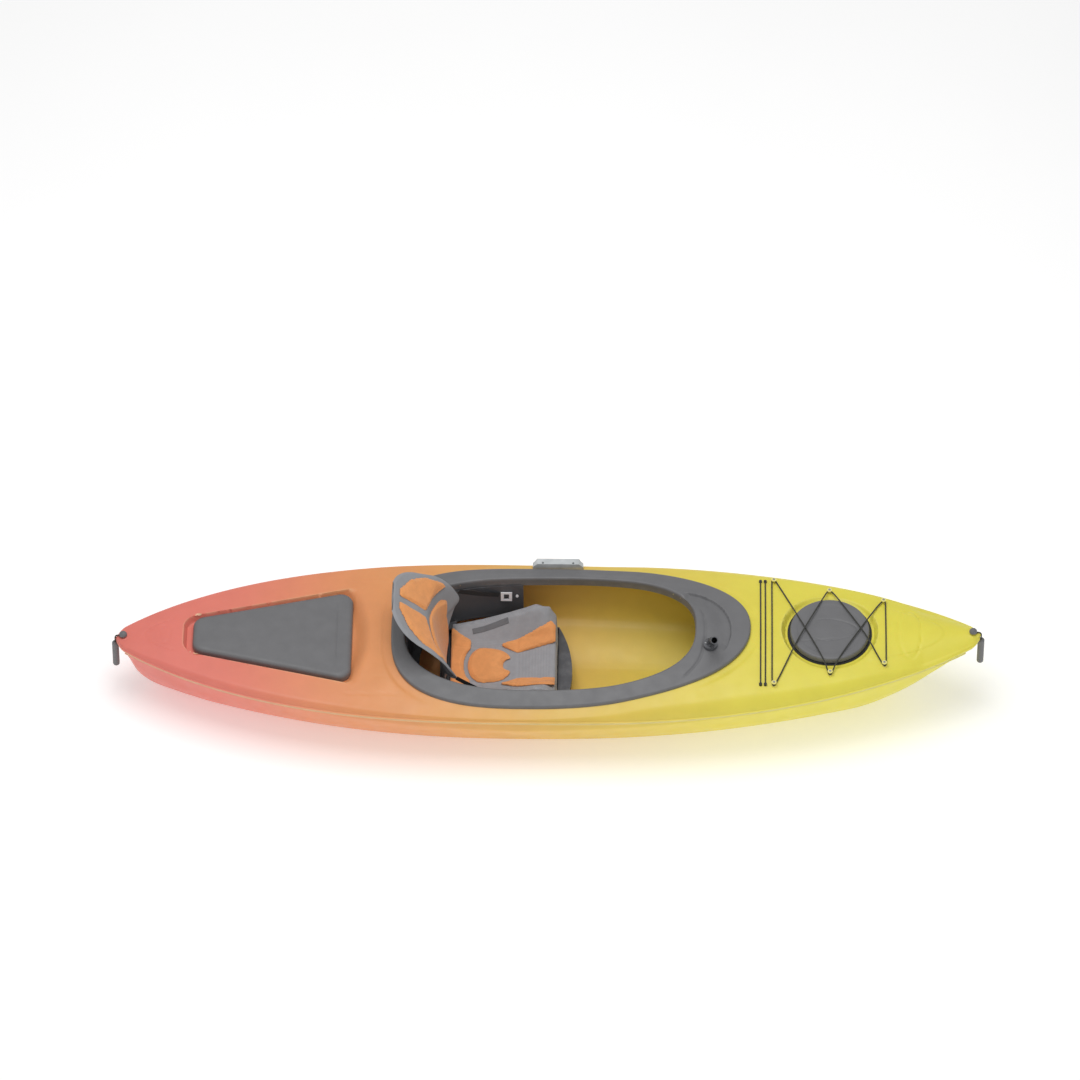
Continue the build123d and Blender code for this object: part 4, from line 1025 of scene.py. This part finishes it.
# ------------------------------------------------------------------ stage, lights and camera
def make_camera(lens, wide):
    """Long lens from starboard and above, far enough back to take in the whole frame width."""
    azimuth, elevation = math.radians(0.9), math.radians(48.3)
    back = Vector((math.sin(azimuth) * math.cos(elevation), -math.cos(azimuth) * math.cos(elevation),
                   math.sin(elevation)))
    up = Vector((-math.sin(azimuth) * math.sin(elevation), math.cos(azimuth) * math.sin(elevation),
                 math.cos(elevation)))
    right = Vector((math.cos(azimuth), math.sin(azimuth), 0))
    data = bpy.data.cameras.new("Camera")
    data.lens, data.sensor_width, data.clip_end = lens, 36.0, 200.0
    made = bpy.data.objects.new("Camera", data)
    made.location = up * 0.527 - right * 0.027 + back * (wide * lens / 36.0)
    made.rotation_euler = back.to_track_quat("Z", "Y").to_euler()
    bpy.context.scene.collection.objects.link(made)
    bpy.context.scene.camera = made


def make_stage(strength):
    """Pale floor, even sky and two soft lamps."""
    size = 14.0
    u, v = np.meshgrid(np.linspace(-size, size, 15), np.linspace(-size, size, 15), indexing="ij")
    floor = mesh_from("studio_floor", np.stack([u, v, 0 * u - 0.0004], -1) / MM,
                      quads_of(15, 15).tolist())
    floor.data.materials.append(stage_paper())
    world = bpy.data.worlds.new("studio")
    world.use_nodes = True
    world.node_tree.nodes["Background"].inputs[0].default_value = (1.0, 1.0, 1.0, 1.0)
    world.node_tree.nodes["Background"].inputs[1].default_value = strength
    bpy.context.scene.world = world
    lamps = (("key", 168.0, 4.0, (-0.4, 0.1, 6.0)), ("fill", 24.0, 6.0, (2.5, -4.0, 5.0)))
    for name, energy, size, spot in lamps:
        data = bpy.data.lights.new(name, "AREA")
        data.energy, data.size = energy, size
        lamp = bpy.data.objects.new(name, data)
        lamp.location = spot
        lamp.rotation_euler = Vector(spot).to_track_quat("Z", "Y").to_euler()
        bpy.context.scene.collection.objects.link(lamp)
    bpy.context.scene.view_settings.view_transform = "Standard"


# ------------------------------------------------------------------ settings
def described(kind, name, description, default, **more):
    """Setting with its name, description and default."""
    return kind(name=name, description=description, default=default, **more)


class KayakSizes(bpy.types.PropertyGroup):
    """Sizes that the surfaces are made with."""
    wall: described(bpy.props.FloatProperty, "Wall", "Moulded wall of hull and deck", 0.0045,
                    unit="LENGTH", min=0.001)
    cord: described(bpy.props.FloatProperty, "Cord", "Diameter of the deck cords", 0.005,
                    unit="LENGTH", min=0.002)
    lens: described(bpy.props.FloatProperty, "Lens", "Focal length of the camera in millimetres", 300.0)
    view: described(bpy.props.FloatProperty, "View width", "Width of the picture at the boat", 3.839,
                    unit="LENGTH")
    sky: described(bpy.props.FloatProperty, "Sky", "Strength of the even studio light", 0.42)


class KayakColours(bpy.types.PropertyGroup):
    """Colours of the visible plastics and fabrics."""
    stern: described(bpy.props.FloatVectorProperty, "Stern", "Hull colour at the stern",
                     linear("#EE8376"), size=4, subtype="COLOR")
    middle_aft: described(bpy.props.FloatVectorProperty, "Aft", "Hull colour behind the cockpit",
                          linear("#EDA167"), size=4, subtype="COLOR")
    middle: described(bpy.props.FloatVectorProperty, "Middle", "Hull colour beside the seat",
                      linear("#EABF5E"), size=4, subtype="COLOR")
    middle_fore: described(bpy.props.FloatVectorProperty, "Fore", "Hull colour beside the legs",
                           linear("#ECD65A"), size=4, subtype="COLOR")
    bow: described(bpy.props.FloatVectorProperty, "Bow", "Hull colour at the bow",
                   linear("#EFE455"), size=4, subtype="COLOR")
    lids: described(bpy.props.FloatVectorProperty, "Lids", "Coaming and hatch lids",
                    linear("#747476"), size=4, subtype="COLOR")
    dark: described(bpy.props.FloatVectorProperty, "Dark", "Seat pan and side walls",
                    linear("#55565A"), size=4, subtype="COLOR")
    seat: described(bpy.props.FloatVectorProperty, "Seat", "Seat cushion fabric",
                    linear("#A4A4A8"), size=4, subtype="COLOR")
    pads: described(bpy.props.FloatVectorProperty, "Pads", "Seat and backrest pads",
                    linear("#F3A667"), size=4, subtype="COLOR")


# ------------------------------------------------------------------ operators
class BuildCamera(bpy.types.Operator):
    """Add the camera at the viewing angle."""
    bl_idname, bl_label = "kayak.camera", "Camera"

    def execute(self, context):
        sizes = context.scene.kayak_sizes
        make_camera(sizes.lens, sizes.view)
        return {"FINISHED"}


class BuildCords(bpy.types.Operator):
    """Add the carry toggles' cords, the deck bungee and the cross cords."""
    bl_idname, bl_label = "kayak.cords", "Cords"

    def execute(self, context):
        make_toggle_cords(context.scene.kayak_sizes.cord)
        make_deck_lines(context.scene.kayak_sizes.cord)
        dress("cord_grommets", "black")
        dress("bungee_posts", "hull")
        dress("bungee_knot", "black")
        for node in ("bow_toggle_bolt", "stern_toggle_bolt", "bow_toggle_grip", "stern_toggle_grip"):
            dress(node, "grey")
        return {"FINISHED"}


class BuildHull(bpy.types.Operator):
    """Add the moulded hull below the seam."""
    bl_idname, bl_label = "kayak.hull", "Hull"

    def execute(self, context):
        make_hull(context.scene.kayak_sizes.wall)
        return {"FINISHED"}


class BuildDeck(bpy.types.Operator):
    """Add the moulded deck with its recesses."""
    bl_idname, bl_label = "kayak.deck", "Deck"

    def execute(self, context):
        make_deck(context.scene.kayak_sizes.wall)
        return {"FINISHED"}


class BuildCockpit(bpy.types.Operator):
    """Add the coaming and the walls around the seat."""
    bl_idname, bl_label = "kayak.cockpit", "Cockpit"

    def execute(self, context):
        make_coaming()
        make_surround()
        return {"FINISHED"}


class BuildHatches(bpy.types.Operator):
    """Add both hatch lids and finish the rim, seals and tub."""
    bl_idname, bl_label = "kayak.hatches", "Hatches"

    def execute(self, context):
        make_bow_lid()
        make_stern_lid()
        dress("bow_hatch_rim", "black")
        dress("stern_tub", "dark")
        dress("bow_hatch_seal", "rubber")
        dress("stern_seal", "rubber")
        return {"FINISHED"}


class BuildSeat(bpy.types.Operator):
    """Add the seat cushion, its pads and the backrest."""
    bl_idname, bl_label = "kayak.seat", "Seat"

    def execute(self, context):
        up, ahead = (0, 0, 1), (1, 0, 0)
        padded_piece("seat_cushion", "seat_cushion_soft", 6, 6, 6.5, up, "seat", "kayak", "seat_fabric")
        for node in ("thigh_pad_port", "thigh_pad_starboard", "centre_pad", "rear_pad"):
            padded_piece(node, node + "_soft", 4, 5, 1.2, up, "pad", "kayak", "pad_fabric")
        make_backrest_shell()
        for node in ("upper_pad_port", "upper_pad_starboard", "lower_pad"):
            padded_piece(node, node + "_soft", 4, 5, 1.2, ahead, "pad", "backrest", "pad_fabric")
        make_strips(bpy.data.objects["seat_cushion_soft"])
        dress("seat_pan", "dark")
        dress("seat_risers", "foam")
        dress("backrest_pin", "steel")
        return {"FINISHED"}


class BuildStraps(bpy.types.Operator):
    """Add the backrest's straps and finish their buckles."""
    bl_idname, bl_label = "kayak.straps", "Straps"

    def execute(self, context):
        make_straps()
        for node in ("side_buckles", "rear_buckles", "strap_rivets"):
            dress(node, "white")
        return {"FINISHED"}


class BuildFittings(bpy.types.Operator):
    """Finish the paddle rest, rod holder, foot braces, bulkheads and screws."""
    bl_idname, bl_label = "kayak.fittings", "Fittings"

    def execute(self, context):
        finishes = {"light": ["paddle_rest"], "dark": ["rod_base", "rod_yoke", "rod_tube"],
                    "foam": ["stern_bulkhead", "bow_bulkhead"], "black": [],
                    "steel": ["rod_pin", "post_screws", "rest_screws", "rod_base_screws"]}
        for side in ("port", "starboard"):
            finishes["black"] += ["foot_rail_" + side, "foot_pedal_" + side, "rail_spacers_" + side]
            finishes["steel"] += ["rail_screws_" + side]
        for finish_name, nodes in finishes.items():
            for node in nodes:
                dress(node, finish_name)
        return {"FINISHED"}


class BuildStage(bpy.types.Operator):
    """Add the floor, the studio light and the world."""
    bl_idname, bl_label = "kayak.stage", "Stage"

    def execute(self, context):
        make_stage(context.scene.kayak_sizes.sky)
        return {"FINISHED"}


OPERATORS = (BuildCamera, BuildCords, BuildHull, BuildDeck, BuildCockpit, BuildHatches, BuildSeat,
             BuildStraps, BuildFittings, BuildStage)


class KayakPanel(bpy.types.Panel):
    """Buttons for each group of pieces."""
    bl_idname, bl_label = "VIEW3D_PT_kayak", "Kayak"
    bl_space_type, bl_region_type, bl_category = "VIEW_3D", "UI", "Kayak"

    def draw(self, context):
        for kind in OPERATORS:
            self.layout.operator(kind.bl_idname)


CLASSES = (KayakSizes, KayakColours) + OPERATORS + (KayakPanel,)


def register():
    for kind in CLASSES:
        bpy.utils.register_class(kind)
    bpy.types.Scene.kayak_sizes = bpy.props.PointerProperty(type=KayakSizes)
    bpy.types.Scene.kayak_colours = bpy.props.PointerProperty(type=KayakColours)


def unregister():
    del bpy.types.Scene.kayak_colours
    del bpy.types.Scene.kayak_sizes
    for kind in reversed(CLASSES):
        bpy.utils.unregister_class(kind)


def main():
    """Build every group in order."""
    register()
    for build in (bpy.ops.kayak.camera, bpy.ops.kayak.cords, bpy.ops.kayak.hull, bpy.ops.kayak.deck,
                  bpy.ops.kayak.cockpit, bpy.ops.kayak.hatches, bpy.ops.kayak.seat,
                  bpy.ops.kayak.straps, bpy.ops.kayak.fittings, bpy.ops.kayak.stage):
        build()


if __name__ == "__main__":
    main()
